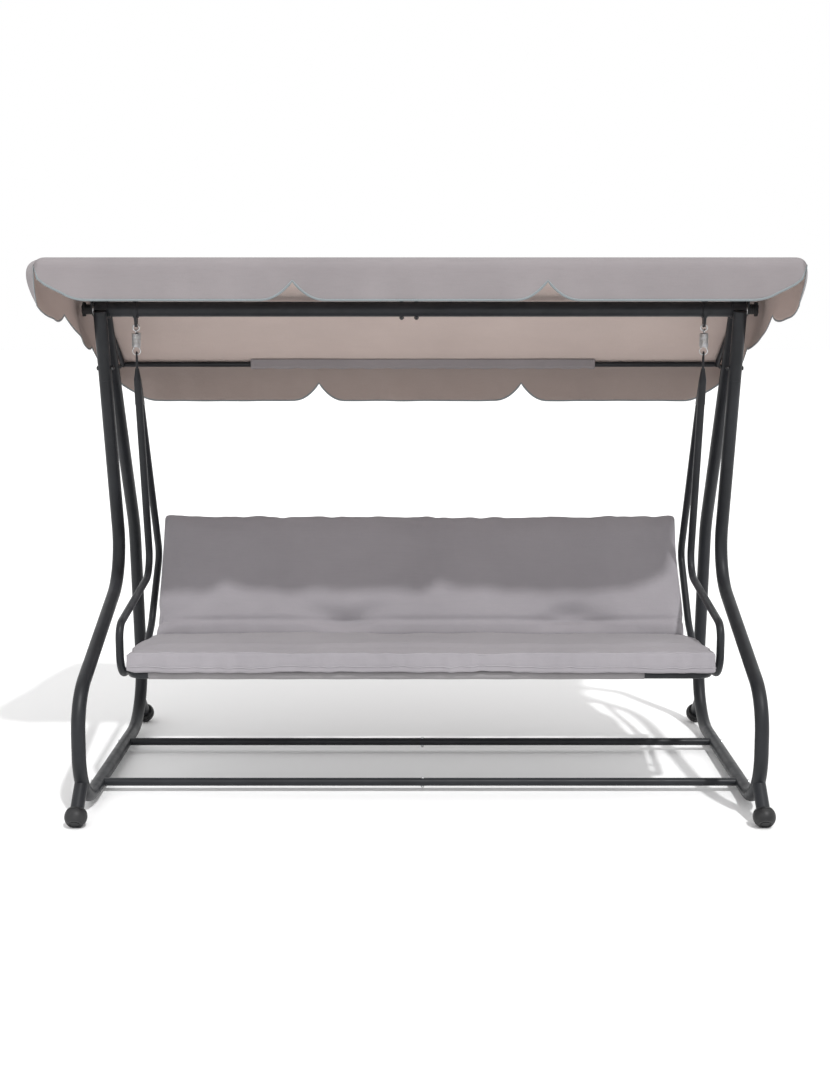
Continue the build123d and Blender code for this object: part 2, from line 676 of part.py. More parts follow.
brackets = []
ears = []
for _, side in SIDES:
    with BuildPart() as bracket:
        with BuildSketch(Plane.YZ.offset(side * BRACKET_X)):
            with Locations((RECLINE_Y, RECLINE_Z)):
                Circle(27)
            with Locations((65, seat_z(65))):
                Circle(11)
            with Locations((132, seat_z(132))):
                Circle(11)
            make_hull()
            with Locations((RECLINE_Y, RECLINE_Z)):
                Circle(RECLINE_BOLT_R + 0.05, mode=Mode.SUBTRACT)
        extrude(amount=side * PLATE)
    brackets.append(bracket.part)
    with BuildPart() as ear:
        with BuildSketch(Plane.YZ.offset(side * EAR_X)):
            with Locations((RECLINE_Y, RECLINE_Z)):
                Circle(22)
            with Locations(back_point(90)):
                Circle(10.5)
            make_hull()
            with Locations((RECLINE_Y, RECLINE_Z)):
                Circle(RECLINE_BOLT_R + 0.05, mode=Mode.SUBTRACT)
        extrude(amount=side * PLATE)
    ears.append(ear.part)
group(brackets, "recline_brackets")
group(ears, "recline_ears")

recline_bolts = []
for _, side in SIDES:
    start = (side * (EAR_X - 0.2), RECLINE_Y, RECLINE_Z)
    nut_x = side * (BRACKET_X + PLATE + 0.2)
    nut_seat = Plane(origin=(nut_x, RECLINE_Y, RECLINE_Z), z_dir=(side, 0, 0))
    with BuildPart() as pivot:
        with Locations(Plane(origin=start, z_dir=(side, 0, 0))):
            Cylinder(8.5, 5, align=(Align.CENTER, Align.CENTER, Align.MAX))
            Cylinder(RECLINE_BOLT_R, 17, align=(Align.CENTER, Align.CENTER, Align.MIN))
    with BuildPart() as nut:
        with BuildSketch(nut_seat):
            RegularPolygon(radius=9.5, side_count=6)
            Circle(RECLINE_BOLT_R + 0.05, mode=Mode.SUBTRACT)
        extrude(amount=7)
    recline_bolts += [pivot.part, nut.part]
group(recline_bolts, "recline_bolts")


# ---------------------------------------------------------------- backrest
BACK_START = 18
BACK_R = BACK_D / 2
low_y, low_z = back_point(BACK_START)
high_y, high_z = back_point(BACK_LENGTH)
back_path = [
    (0, low_y, low_z),
    (BACK_X, low_y, low_z),
    (BACK_X, high_y, high_z),
    (-BACK_X, high_y, high_z),
    (-BACK_X, low_y, low_z),
    (-1, low_y, low_z),
]
back_loop = bent_tube(back_path, 40, BACK_D, 1.5)
group([back_loop], "back_frame")

BACK_SLING_HALF_X = 820
back_plane = Plane(
    origin=(-BACK_SLING_HALF_X, low_y, low_z), x_dir=(0, along_back[0], along_back[1]), z_dir=(1, 0, 0)
)
back_run = BACK_LENGTH - BACK_START
with BuildPart() as back_sling:
    with BuildSketch(back_plane):
        with Locations((0, 0), (back_run, 0)):
            Circle(BACK_R + 0.3 + SLING_THICK)
        with Locations((back_run / 2, BACK_R + 0.3 + SLING_THICK / 2)):
            Rectangle(back_run, SLING_THICK)
        with Locations((0, 0), (back_run, 0)):
            Circle(BACK_R + 0.3, mode=Mode.SUBTRACT)
    extrude(amount=2 * BACK_SLING_HALF_X)
save(back_sling, "back_sling")

back_base = BACK_R + SLING_THICK + 2.4
BACK_CUSHION_START = 28
cushion_y, cushion_z = back_point(BACK_CUSHION_START, back_base)
back_cushion_plane = Plane(
    origin=(0, cushion_y, cushion_z), x_dir=(1, 0, 0), z_dir=(0, -along_back[1], along_back[0])
)
back_cushion_run = 452
through_back = Axis((0, cushion_y, cushion_z), (0, -along_back[1], along_back[0]))
with BuildPart() as back_cushion:
    with BuildSketch(back_cushion_plane):
        with Locations((0, back_cushion_run / 2)):
            RectangleRounded(2 * BACK_CUSHION_HALF_X, back_cushion_run, 22)
    extrude(amount=CUSHION_THICK)
    fillet(back_cushion.faces().sort_by(through_back)[0].edges(), 14)
    fillet(back_cushion.faces().sort_by(through_back)[-1].edges(), 14)
save(back_cushion, "back_cushion")


# ---------------------------------------------------------------- canopy frame
def arc_centre(a, b, c):
    """Centre and radius of the circle through three points."""
    ax, ay = a[0] - c[0], a[1] - c[1]
    bx, by = b[0] - c[0], b[1] - c[1]
    d = 2 * (ax * by - ay * bx)
    ux = (by * (ax * ax + ay * ay) - ay * (bx * bx + by * by)) / d
    uy = (ax * (bx * bx + by * by) - bx * (ax * ax + ay * ay)) / d
    return c[0] + ux, c[1] + uy, hypot(ux, uy)


ARCH_Y, ARCH_Z, ARCH_R = arc_centre(CANOPY_FRONT, CANOPY_MIDDLE, CANOPY_REAR)
CANOPY_R = CANOPY_D / 2
BAR_ENDS = (-535, 529)
SIDE_BAR_WALL = 1.2
BRACKET_FEET = (-55, 55)      # Y where each pivot bracket meets its side bar


def arch_z(y, lift=0):
    """Height of the canopy's arch at y, or of a line lift above it."""
    return ARCH_Z + sqrt((ARCH_R + lift) ** 2 - (y - ARCH_Y) ** 2)


brackets = []
for name, side in SIDES:
    x = side * CANOPY_SIDE_X
    with BuildPart() as side_bar:
        with BuildLine():
            ThreePointArc(*[(x, y, arch_z(y)) for y in (BAR_ENDS[0], 0, BAR_ENDS[1])])
        tangent = Vector(0, arch_z(BAR_ENDS[0]) - ARCH_Z, ARCH_Y - BAR_ENDS[0])
        with BuildSketch(Plane(origin=(x, BAR_ENDS[0], arch_z(BAR_ENDS[0])), z_dir=tangent)):
            Circle(CANOPY_R)
            Circle(CANOPY_R - SIDE_BAR_WALL, mode=Mode.SUBTRACT)
        sweep()
    save(side_bar, f"canopy_side_bar_{name}")
    with BuildPart() as bracket:
        with BuildSketch(Plane.YZ.offset(side * (plug_face_x + 0.5))):
            with Locations((0, BEAM_Z)):
                Circle(24)
            for y in BRACKET_FEET:
                with Locations((y, arch_z(y))):
                    Circle(7)
            make_hull()
            with Locations((0, BEAM_Z)):
                Circle(STUD_D / 2 + 0.05, mode=Mode.SUBTRACT)
        extrude(amount=side * 3.4)
    brackets.append(bracket.part)
group(brackets, "canopy_brackets")

inner_x = CANOPY_SIDE_X - CANOPY_R - 0.1
for place, (bar_y, bar_z) in (("front", CANOPY_FRONT), ("rear", CANOPY_REAR)):
    bar_inner_d = CANOPY_D - 2 * SIDE_BAR_WALL
    bar = straight_tube((-inner_x, bar_y, bar_z), (inner_x, bar_y, bar_z), CANOPY_D, bar_inner_d)
    group([bar], f"canopy_{place}_bar")

bar_plugs = []
for _, side in SIDES:
    for end, y in zip((-1, 1), BAR_ENDS):
        radial = Vector(0, y - ARCH_Y, arch_z(y) - ARCH_Z).normalized()
        outward = Vector(0, radial.Z, -radial.Y) * end
        face = Plane(origin=Vector(side * CANOPY_SIDE_X, y, arch_z(y)) + outward * 0.1, z_dir=outward)
        with BuildPart() as bar_plug:
            with BuildSketch(face):
                Circle(CANOPY_R)
            extrude(amount=2)
            with BuildSketch(face):
                Circle(CANOPY_R - 1.3)
            extrude(amount=-15)
        bar_plugs.append(bar_plug.part)
group(bar_plugs, "canopy_bar_plugs")

KNOB_NECK_R = 17
KNOB_NECK = 25
KNOB_HEAD_R = 24
KNOB_HEAD = 7.5
KNOB_GROOVE = 2.4
for name, side in SIDES:
    start_x = side * (plug_face_x + 4.2)
    knob_plane = Plane(origin=(start_x, 0, BEAM_Z), x_dir=(0, 1, 0), z_dir=(side, 0, 0))
    with BuildPart() as knob:
        with BuildSketch(knob_plane):
            Circle(KNOB_NECK_R)
        extrude(amount=KNOB_NECK)
        for step in range(4):
            with BuildSketch(knob_plane.offset(3.5 + 5.5 * step)):
                Circle(18)
                Circle(KNOB_NECK_R - 2.2, mode=Mode.SUBTRACT)
            extrude(amount=KNOB_GROOVE, mode=Mode.SUBTRACT)
        with BuildSketch(knob_plane.offset(KNOB_NECK)):
            Circle(KNOB_HEAD_R)
            with PolarLocations(KNOB_HEAD_R + 1.5, 8):
                Circle(4.5, mode=Mode.SUBTRACT)
        extrude(amount=KNOB_HEAD)
        with BuildSketch(knob_plane):
            Circle(STUD_D / 2 + 0.05)
        extrude(amount=31, mode=Mode.SUBTRACT)
    save(knob, f"canopy_knob_{name}")


# ---------------------------------------------------------------- canopy fabric
ROOF_HALF_Y = 542
LOW_LIFT = CANOPY_R + 0.4
HIGH_LIFT = LOW_LIFT + FABRIC
with BuildPart() as canopy_roof:
    with BuildSketch(Plane.YZ.offset(-CANOPY_HALF_X)):
        with BuildLine():
            ThreePointArc(
                (-ROOF_HALF_Y, arch_z(-ROOF_HALF_Y, HIGH_LIFT)),
                (0, arch_z(0, HIGH_LIFT)),
                (ROOF_HALF_Y, arch_z(ROOF_HALF_Y, HIGH_LIFT)),
            )
            Line(
                (ROOF_HALF_Y, arch_z(ROOF_HALF_Y, HIGH_LIFT)),
                (ROOF_HALF_Y, arch_z(ROOF_HALF_Y, LOW_LIFT)),
            )
            ThreePointArc(
                (ROOF_HALF_Y, arch_z(ROOF_HALF_Y, LOW_LIFT)),
                (0, arch_z(0, LOW_LIFT)),
                (-ROOF_HALF_Y, arch_z(-ROOF_HALF_Y, LOW_LIFT)),
            )
            Line(
                (-ROOF_HALF_Y, arch_z(-ROOF_HALF_Y, LOW_LIFT)),
                (-ROOF_HALF_Y, arch_z(-ROOF_HALF_Y, HIGH_LIFT)),
            )
        make_face()
    extrude(amount=2 * CANOPY_HALF_X)
save(canopy_roof, "canopy_roof")


def hanging_panel(half, top, hem, cusp, plane):
    """Front or rear valance: three scallops with rounded lower corners."""
    corner = SCALLOP_CORNER
    near = corner * 0.29
    rise = (cusp - hem) * 0.29
    with BuildPart() as panel:
        with BuildSketch(plane):
            with BuildLine():
                Line((-half, top), (half, top))
                Line((half, top), (half, cusp))
                for a, b in ((half, CUSP_X), (CUSP_X, -CUSP_X), (-CUSP_X, -half)):
                    ThreePointArc((a, cusp), (a - near, hem + rise), (a - corner, hem))
                    Line((a - corner, hem), (b + corner, hem))
                    ThreePointArc((b + corner, hem), (b + near, hem + rise), (b, cusp))
                Line((-half, cusp), (-half, top))
            make_face()
        extrude(amount=FABRIC)
    return panel


panel_half = CANOPY_HALF_X - FABRIC - 1
front_plane = Plane(origin=(0, -ROOF_HALF_Y + FABRIC, 0), x_dir=(1, 0, 0), z_dir=(0, -1, 0))
rear_plane = Plane(origin=(0, ROOF_HALF_Y, 0), x_dir=(1, 0, 0), z_dir=(0, -1, 0))
front_top = arch_z(-ROOF_HALF_Y, LOW_LIFT) - 0.3
rear_top = arch_z(ROOF_HALF_Y, LOW_LIFT) - 0.3
save(hanging_panel(panel_half, front_top, FRONT_HEM_Z, FRONT_CUSP_Z, front_plane), "valance_front")
save(hanging_panel(panel_half, rear_top, REAR_HEM_Z, REAR_CUSP_Z, rear_plane), "valance_rear")

SIDE_END_Y = 539
side_marks = (
    (SIDE_END_Y, SIDE_CORNER_DROP),
    (SIDE_CUSP_Y, SIDE_CUSP_DROP),
    (-SIDE_CUSP_Y, SIDE_CUSP_DROP),
    (-SIDE_END_Y, SIDE_CORNER_DROP),
)
for name, side in SIDES:
    with BuildPart() as side_valance:
        with BuildSketch(Plane.YZ.offset(side * (CANOPY_HALF_X - FABRIC - 0.5))):
            with BuildLine():
                ThreePointArc(
                    (-SIDE_END_Y, arch_z(-SIDE_END_Y, LOW_LIFT - 0.4)),
                    (0, arch_z(0, LOW_LIFT - 0.4)),
                    (SIDE_END_Y, arch_z(SIDE_END_Y, LOW_LIFT - 0.4)),
                )
                Line(
                    (SIDE_END_Y, arch_z(SIDE_END_Y, LOW_LIFT - 0.4)),
                    (SIDE_END_Y, arch_z(SIDE_END_Y) - SIDE_CORNER_DROP),
                )
                for (a, drop_a), (b, drop_b) in zip(side_marks, side_marks[1:]):
                    middle = (a + b) / 2
                    ThreePointArc(
                        (a, arch_z(a) - drop_a),
                        (middle, arch_z(middle) - SIDE_DROP),
                        (b, arch_z(b) - drop_b),
                    )
                Line(
                    (-SIDE_END_Y, arch_z(-SIDE_END_Y) - SIDE_CORNER_DROP),
                    (-SIDE_END_Y, arch_z(-SIDE_END_Y, LOW_LIFT - 0.4)),
                )
            make_face()
        extrude(amount=side * FABRIC)
    save(side_valance, f"valance_{name}")

SLEEVE_FROM_X = -620
SLEEVE_TO_X = 640
wrap = straight_tube(
    (SLEEVE_FROM_X, *CANOPY_REAR), (SLEEVE_TO_X, *CANOPY_REAR), CANOPY_D + 3.4, CANOPY_D + 0.6
)
with BuildPart() as rear_bar_sleeve:
    add(wrap)
    add(canopy_roof.part, mode=Mode.SUBTRACT)
save(rear_bar_sleeve, "rear_bar_sleeve")
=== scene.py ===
"""Looks of the canopy swing bench: canopy, cushions, slings, springs and the finish of its frame."""

import math

import bmesh
import bpy
import numpy as np
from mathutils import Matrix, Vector, noise
from mathutils.bvhtree import BVHTree


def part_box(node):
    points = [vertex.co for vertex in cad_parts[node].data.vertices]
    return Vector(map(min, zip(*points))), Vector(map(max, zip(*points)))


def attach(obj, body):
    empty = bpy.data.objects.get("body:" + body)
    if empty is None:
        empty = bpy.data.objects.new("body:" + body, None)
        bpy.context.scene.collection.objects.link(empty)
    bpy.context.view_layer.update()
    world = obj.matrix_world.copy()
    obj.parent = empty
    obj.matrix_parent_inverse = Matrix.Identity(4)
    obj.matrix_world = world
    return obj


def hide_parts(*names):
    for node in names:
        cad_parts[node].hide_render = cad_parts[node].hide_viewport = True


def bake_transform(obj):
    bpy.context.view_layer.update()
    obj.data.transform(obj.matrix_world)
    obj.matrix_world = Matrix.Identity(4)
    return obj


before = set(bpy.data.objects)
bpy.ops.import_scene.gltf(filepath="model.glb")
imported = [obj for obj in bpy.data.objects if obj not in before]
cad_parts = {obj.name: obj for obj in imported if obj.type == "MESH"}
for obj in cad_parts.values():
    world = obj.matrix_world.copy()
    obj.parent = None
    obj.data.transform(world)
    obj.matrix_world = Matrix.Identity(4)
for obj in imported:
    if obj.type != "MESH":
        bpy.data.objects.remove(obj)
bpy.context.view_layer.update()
scene = bpy.context.scene
SIDES = (("left", -1), ("right", 1))


def centre(node):
    """Middle of a CAD node's box."""
    low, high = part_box(node)
    return (low + high) / 2


# ---------------------------------------------------------------- camera, floor and light
CAMERA_PLACE = (0, -4.992, 1.607)
CAMERA_PITCH = 7.14
FLOOR_HALF = 40
SUN_DIRECTION = (-0.30, 0.70, -1.0)


def add_camera():
    data = bpy.data.cameras.new("camera")
    data.lens = 50
    data.sensor_width = 36
    data.shift_x = -0.0047
    data.shift_y = -0.051
    camera = bpy.data.objects.new("camera", data)
    camera.location = CAMERA_PLACE
    camera.rotation_euler = (math.radians(90 - CAMERA_PITCH), 0, 0)
    scene.collection.objects.link(camera)
    scene.camera = camera


def add_light(name, kind, direction, energy, place=(0, 0, 0), size=1.0, angle=0.1):
    data = bpy.data.lights.new(name, kind)
    data.energy = energy
    if kind == "AREA":
        data.size = size
    else:
        data.angle = angle
    light = bpy.data.objects.new(name, data)
    light.location = place
    light.rotation_euler = Vector(direction).to_track_quat("-Z", "Y").to_euler()
    scene.collection.objects.link(light)


def add_studio():
    world = bpy.data.worlds.new("studio")
    world.use_nodes = True
    world.node_tree.nodes["Background"].inputs["Color"].default_value = (1, 1, 1, 1)
    world.node_tree.nodes["Background"].inputs["Strength"].default_value = 1.0
    scene.world = world
    scene.view_settings.view_transform = "Standard"
    add_light("sun", "SUN", SUN_DIRECTION, 2.1, angle=0.04)
    add_light("front_fill", "AREA", (0.15, 1, -0.25), 35, place=(-1.0, -5.5, 2.6), size=3.5)
    mesh = bpy.data.meshes.new("floor")
    h = FLOOR_HALF
    mesh.from_pydata([(-h, -h, 0), (h, -h, 0), (h, h, 0), (-h, h, 0)], [], [(0, 1, 2, 3)])
    floor = bpy.data.objects.new("floor", mesh)
    scene.collection.objects.link(floor)
    paint, tree, shader = new_material("floor_paper")
    shader.inputs["Roughness"].default_value = 0.95
    grain = add_node(tree, "ShaderNodeTexNoise", Scale=3.0, Detail=4.0)
    tone = mix_colours(tree, grain.outputs["Fac"], (0.90, 0.90, 0.90), (0.93, 0.93, 0.93))
    tree.links.new(tone, shader.inputs["Base Color"])
    mesh.materials.append(paint)


# ---------------------------------------------------------------- materials
def new_material(name):
    made = bpy.data.materials.new(name)
    made.use_nodes = True
    return made, made.node_tree, made.node_tree.nodes["Principled BSDF"]


def add_node(tree, kind, operation=None, **values):
    """A shader node with its operation and its unlinked inputs set."""
    made = tree.nodes.new(kind)
    if operation:
        made.operation = operation
    for name, value in values.items():
        made.inputs[name.replace("_", " ")].default_value = value
    return made


def mix_colours(tree, factor, first, second):
    """A colour that runs from first to second as factor goes from 0 to 1."""
    made = tree.nodes.new("ShaderNodeMix")
    made.data_type = "RGBA"
    made.inputs[6].default_value = (*first, 1)
    made.inputs[7].default_value = (*second, 1)
    tree.links.new(factor, made.inputs[0])
    return made.outputs[2]


def tint(tree, factor, base, colour):
    """The base colour multiplied by another colour, by as much as factor says."""
    made = tree.nodes.new("ShaderNodeMix")
    made.data_type = "RGBA"
    made.blend_type = "MULTIPLY"
    made.inputs[7].default_value = (*colour, 1)
    tree.links.new(factor, made.inputs[0])
    tree.links.new(base, made.inputs[6])
    return made.outputs[2]


def remap(tree, value, low, high, to_low, to_high):
    made = tree.nodes.new("ShaderNodeMapRange")
    for place, number in enumerate((low, high, to_low, to_high), start=1):
        made.inputs[place].default_value = number
    tree.links.new(value, made.inputs[0])
    return made.outputs[0]


def place_of(tree):
    """Coordinates of a point on its object, which are the frame's own metres."""
    return add_node(tree, "ShaderNodeTexCoord").outputs["Object"]


def noise_of(tree, scale, detail=3.0, roughness=0.5, stretch=(1, 1, 1)):
    """Noise over the object, with grains of about 1 / scale metres."""
    mapping = add_node(tree, "ShaderNodeMapping", Scale=stretch)
    tree.links.new(place_of(tree), mapping.inputs["Vector"])
    made = add_node(tree, "ShaderNodeTexNoise", Scale=scale, Detail=detail, Roughness=roughness)
    tree.links.new(mapping.outputs["Vector"], made.inputs["Vector"])
    return made.outputs["Fac"]


def bump(tree, height, distance, strength, before=None):
    made = add_node(tree, "ShaderNodeBump", Strength=strength, Distance=distance)
    tree.links.new(height, made.inputs["Height"])
    if before:
        tree.links.new(before, made.inputs["Normal"])
    return made.outputs["Normal"]


def weave_height(tree, pitch):
    """Height of a plain weave, with its threads along the two axes that a surface faces least."""
    spin = 2 * math.pi / pitch
    coordinates = add_node(tree, "ShaderNodeTexCoord")
    scaled = tree.nodes.new("ShaderNodeVectorMath")
    scaled.operation = "MULTIPLY"
    scaled.inputs[1].default_value = (spin, spin, spin)
    tree.links.new(coordinates.outputs["Object"], scaled.inputs[0])
    wave = add_node(tree, "ShaderNodeVectorMath", "SINE")
    tree.links.new(scaled.outputs[0], wave.inputs[0])
    split = add_node(tree, "ShaderNodeSeparateXYZ")
    tree.links.new(wave.outputs[0], split.inputs[0])
    joined = add_node(tree, "ShaderNodeCombineXYZ")
    for axis, (first, second) in enumerate(((1, 2), (0, 2), (0, 1))):
        product = add_node(tree, "ShaderNodeMath", "MULTIPLY")
        tree.links.new(split.outputs[first], product.inputs[0])
        tree.links.new(split.outputs[second], product.inputs[1])
        tree.links.new(product.outputs[0], joined.inputs[axis])
    share = add_node(tree, "ShaderNodeVectorMath", "MULTIPLY")
    tree.links.new(coordinates.outputs["Normal"], share.inputs[0])
    tree.links.new(coordinates.outputs["Normal"], share.inputs[1])
    height = add_node(tree, "ShaderNodeVectorMath", "DOT_PRODUCT")
    tree.links.new(joined.outputs[0], height.inputs[0])
    tree.links.new(share.outputs[0], height.inputs[1])
    return height.outputs["Value"]


def cloth_material(name, dark, light, pitch, sheen, crease):
    """Woven polyester: threads, uneven dye, slubs, and small creases of crease metres."""
    made, tree, shader = new_material(name)
    threads = weave_height(tree, pitch)
    cloud = noise_of(tree, 2.4, detail=5.0, roughness=0.6)
    tone = mix_colours(tree, remap(tree, cloud, 0.3, 0.7, 0, 1), dark, light)
    slub = noise_of(tree, 260, detail=2.0, stretch=(0.06, 1, 1))
    # Painted shade: the low parts of the weave are darkened, as if shaded by the threads beside them.
    shaded = tint(tree, remap(tree, threads, -1, 1, 0.16, 0.0), tone, (0.55, 0.55, 0.56))
    flecked = tint(tree, remap(tree, slub, 0.45, 0.75, 0, 0.10), shaded, (0.72, 0.71, 0.72))
    tree.links.new(flecked, shader.inputs["Base Color"])
    worn = noise_of(tree, 9, detail=4.0)
    tree.links.new(remap(tree, worn, 0.3, 0.7, 0.72, 0.88), shader.inputs["Roughness"])
    folds = bump(tree, noise_of(tree, 14, detail=3.0, roughness=0.55, stretch=(0.6, 1, 1)), crease, 0.6)
    tree.links.new(bump(tree, threads, 0.00025, 0.55, folds), shader.inputs["Normal"])
    shader.inputs["Sheen Weight"].default_value = sheen
    shader.inputs["Sheen Roughness"].default_value = 0.45
    shader.inputs["Specular IOR Level"].default_value = 0.25
    return made


def shade_upright(material, share):
    """Painted shade: the underside's colour is darkened where the cloth hangs across the front or the
    back, so the valances' inner faces look darker than the roof's underside.
    """
    tree = material.node_tree
    shader = tree.nodes["Principled BSDF"]
    split = add_node(tree, "ShaderNodeSeparateXYZ")
    tree.links.new(add_node(tree, "ShaderNodeTexCoord").outputs["Normal"], split.inputs[0])
    facing = add_node(tree, "ShaderNodeMath", "ABSOLUTE")
    tree.links.new(split.outputs[1], facing.inputs[0])
    amount = remap(tree, facing.outputs[0], 0.5, 0.95, 0, 1)
    base = shader.inputs["Base Color"].links[0].from_socket
    tree.links.new(tint(tree, amount, base, (share, share, share)), shader.inputs["Base Color"])


def binding_material(name, dark, light):
    """Ribbed edge tape with a line of stitches: its UV runs in metres along and across the tape."""
    made, tree, shader = new_material(name)
    coordinates = add_node(tree, "ShaderNodeTexCoord")
    split = add_node(tree, "ShaderNodeSeparateXYZ")
    tree.links.new(coordinates.outputs["UV"], split.inputs[0])
    along = add_node(tree, "ShaderNodeMath", "MULTIPLY")
    along.inputs[1].default_value = 2 * math.pi / 0.0035
    tree.links.new(split.outputs[0], along.inputs[0])
    dash = add_node(tree, "ShaderNodeMath", "SINE")
    tree.links.new(along.outputs[0], dash.inputs[0])
    across = add_node(tree, "ShaderNodeMath", "MULTIPLY")
    across.inputs[1].default_value = 4 * math.pi
    tree.links.new(split.outputs[1], across.inputs[0])
    row = add_node(tree, "ShaderNodeMath", "SINE")
    tree.links.new(across.outputs[0], row.inputs[0])
    stitch = add_node(tree, "ShaderNodeMath", "MULTIPLY")
    tree.links.new(remap(tree, dash.outputs[0], -0.1, 0.3, 0, 1), stitch.inputs[0])
    tree.links.new(remap(tree, row.outputs[0], 0.85, 0.95, 0, 1), stitch.inputs[1])
    tone = mix_colours(tree, stitch.outputs[0], dark, light)
    tree.links.new(tone, shader.inputs["Base Color"])
    ribs = noise_of(tree, 700, detail=1.0)
    low = bump(tree, ribs, 0.0002, 0.5)
    tree.links.new(bump(tree, stitch.outputs[0], 0.0004, 0.8, low), shader.inputs["Normal"])
    shader.inputs["Roughness"].default_value = 0.62
    shader.inputs["Sheen Weight"].default_value = 0.15
    return made


def powder_coat():
    """Satin anthracite powder coat: orange peel, dust on what faces up, and rubbed patches."""
    made, tree, shader = new_material("anthracite_powder_coat")
    cloud = noise_of(tree, 5, detail=6.0, roughness=0.65)
    spread = remap(tree, cloud, 0.35, 0.7, 0, 1)
    tone = mix_colours(tree, spread, (0.0100, 0.0110, 0.0130), (0.0180, 0.0195, 0.0230))
    normal = add_node(tree, "ShaderNodeTexCoord")
    split = add_node(tree, "ShaderNodeSeparateXYZ")
    tree.links.new(normal.outputs["Normal"], split.inputs[0])
    dust = tree.nodes.new("ShaderNodeMix")
    dust.data_type = "RGBA"
    tree.links.new(remap(tree, split.outputs[2], 0.2, 1.0, 0, 0.03), dust.inputs[0])
    tree.links.new(tone, dust.inputs[6])
    dust.inputs[7].default_value = (0.16, 0.155, 0.15, 1)
    tree.links.new(dust.outputs[2], shader.inputs["Base Color"])
    rubbed = noise_of(tree, 22, detail=5.0, roughness=0.7)
    tree.links.new(remap(tree, rubbed, 0.35, 0.7, 0.34, 0.52), shader.inputs["Roughness"])
    peel = bump(tree, noise_of(tree, 520, detail=2.0), 0.0002, 0.45)
    tree.links.new(peel, shader.inputs["Normal"])
    shader.inputs["Coat Weight"].default_value = 0.05
    shader.inputs["Specular IOR Level"].default_value = 0.22
    shader.inputs["Coat Roughness"].default_value = 0.35
    return made


def zinc_plate():
    """Bright zinc plate: fine brushed streaks, with dull and slightly yellowed patches."""
    made, tree, shader = new_material("bright_zinc")
    shader.inputs["Metallic"].default_value = 1
    cloud = noise_of(tree, 60, detail=4.0)
    tone = mix_colours(tree, remap(tree, cloud, 0.3, 0.75, 0, 1), (0.62, 0.63, 0.65), (0.47, 0.46, 0.44))
    tree.links.new(tone, shader.inputs["Base Color"])
    streak = noise_of(tree, 900, detail=2.0, stretch=(1, 1, 0.08))
    tree.links.new(remap(tree, streak, 0.3, 0.7, 0.22, 0.42), shader.inputs["Roughness"])
    tree.links.new(bump(tree, streak, 0.0001, 0.35), shader.inputs["Normal"])
    return made


def blackened_steel():
    """Bolts with a dark oxide finish, a little brighter where a spanner has rubbed them."""
    made, tree, shader = new_material("blackened_steel")
    shader.inputs["Metallic"].default_value = 0.7
    cloud = noise_of(tree, 140, detail=4.0)
    spread = remap(tree, cloud, 0.35, 0.75, 0, 1)
    tone = mix_colours(tree, spread, (0.020, 0.021, 0.023), (0.085, 0.085, 0.086))
    tree.links.new(tone, shader.inputs["Base Color"])
    tree.links.new(remap(tree, cloud, 0.3, 0.7, 0.5, 0.3), shader.inputs["Roughness"])
    tree.links.new(bump(tree, noise_of(tree, 1600, detail=2.0), 0.0001, 0.4), shader.inputs["Normal"])
    return made


def black_plastic():
    """Moulded black plastic with a fine spark grain and scuffs."""
    made, tree, shader = new_material("moulded_black_plastic")
    cloud = noise_of(tree, 30, detail=4.0)
    spread = remap(tree, cloud, 0.35, 0.75, 0, 1)
    tone = mix_colours(tree, spread, (0.012, 0.012, 0.013), (0.030, 0.030, 0.031))
    tree.links.new(tone, shader.inputs["Base Color"])
    tree.links.new(remap(tree, cloud, 0.3, 0.7, 0.42, 0.6), shader.inputs["Roughness"])
    tree.links.new(bump(tree, noise_of(tree, 1400, detail=2.0), 0.00015, 0.5), shader.inputs["Normal"])
    shader.inputs["Specular IOR Level"].default_value = 0.3
    return made


# Painted shade: share of the underside colour kept on the valances' inner faces.
VALANCE_SHADE = 0.62
CANOPY_TOP = cloth_material(
    "canopy_polyester", (0.228, 0.208, 0.214), (0.260, 0.237, 0.243),
    pitch=0.0011,
    sheen=0.12,
    crease=0.004,
)
# Painted light: the canopy's underside is the same cloth as its top, given a lighter, warmer colour that
# stands in for daylight shining through it.
CANOPY_UNDERSIDE_GLOW = cloth_material(
    "canopy_underside_painted_glow", (0.490, 0.400, 0.366), (0.552, 0.452, 0.412),
    pitch=0.0011,
    sheen=0.10,
    crease=0.004,
)
CUSHION_CLOTH = cloth_material(
    "cushion_polyester", (0.264, 0.250, 0.268), (0.302, 0.286, 0.305),
    pitch=0.0010,
    sheen=0.15,
    crease=0.003,
)
SLING_CLOTH = cloth_material(
    "sling_fabric_weave", (0.205, 0.197, 0.202), (0.250, 0.240, 0.246),
    pitch=0.0022,
    sheen=0.05,
    crease=0.002,
)
EDGE_TAPE = binding_material("edge_tape", (0.155, 0.178, 0.188), (0.36, 0.39, 0.40))
# Painted highlight: the welt cord is the cushion cloth given a slightly lighter colour, standing in for
# the light caught along the seams.
SEAM_CORD_PAINTED_HIGHLIGHT = cloth_material(
    "seam_cord", (0.285, 0.272, 0.290), (0.335, 0.320, 0.340),
    pitch=0.0010,
    sheen=0.10,
    crease=0.001,
)
shade_upright(CANOPY_UNDERSIDE_GLOW, VALANCE_SHADE)
FINISHES = {
    "frame_paint": powder_coat(),
    "zinc_plate": zinc_plate(),
    "black_plastic": black_plastic(),
    "canopy_fabric": CANOPY_TOP,
    "cushion_fabric": CUSHION_CLOTH,
    "sling_fabric": SLING_CLOTH,
}
DARK_BOLTS = ("beam_joint_bolts", "leg_head_bolts")
CREASE_ANGLE = 35


def finish_cad_nodes():
    """Each CAD node takes the finish of its material slot, apart from the stand's dark bolts."""
    oxide = blackened_steel()
    for name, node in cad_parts.items():
        for holder in node.material_slots:
            slot_name = holder.material.name.split(".")[0]
            holder.material = oxide if name in DARK_BOLTS else FINISHES[slot_name]
        smooth_by_angle(node)


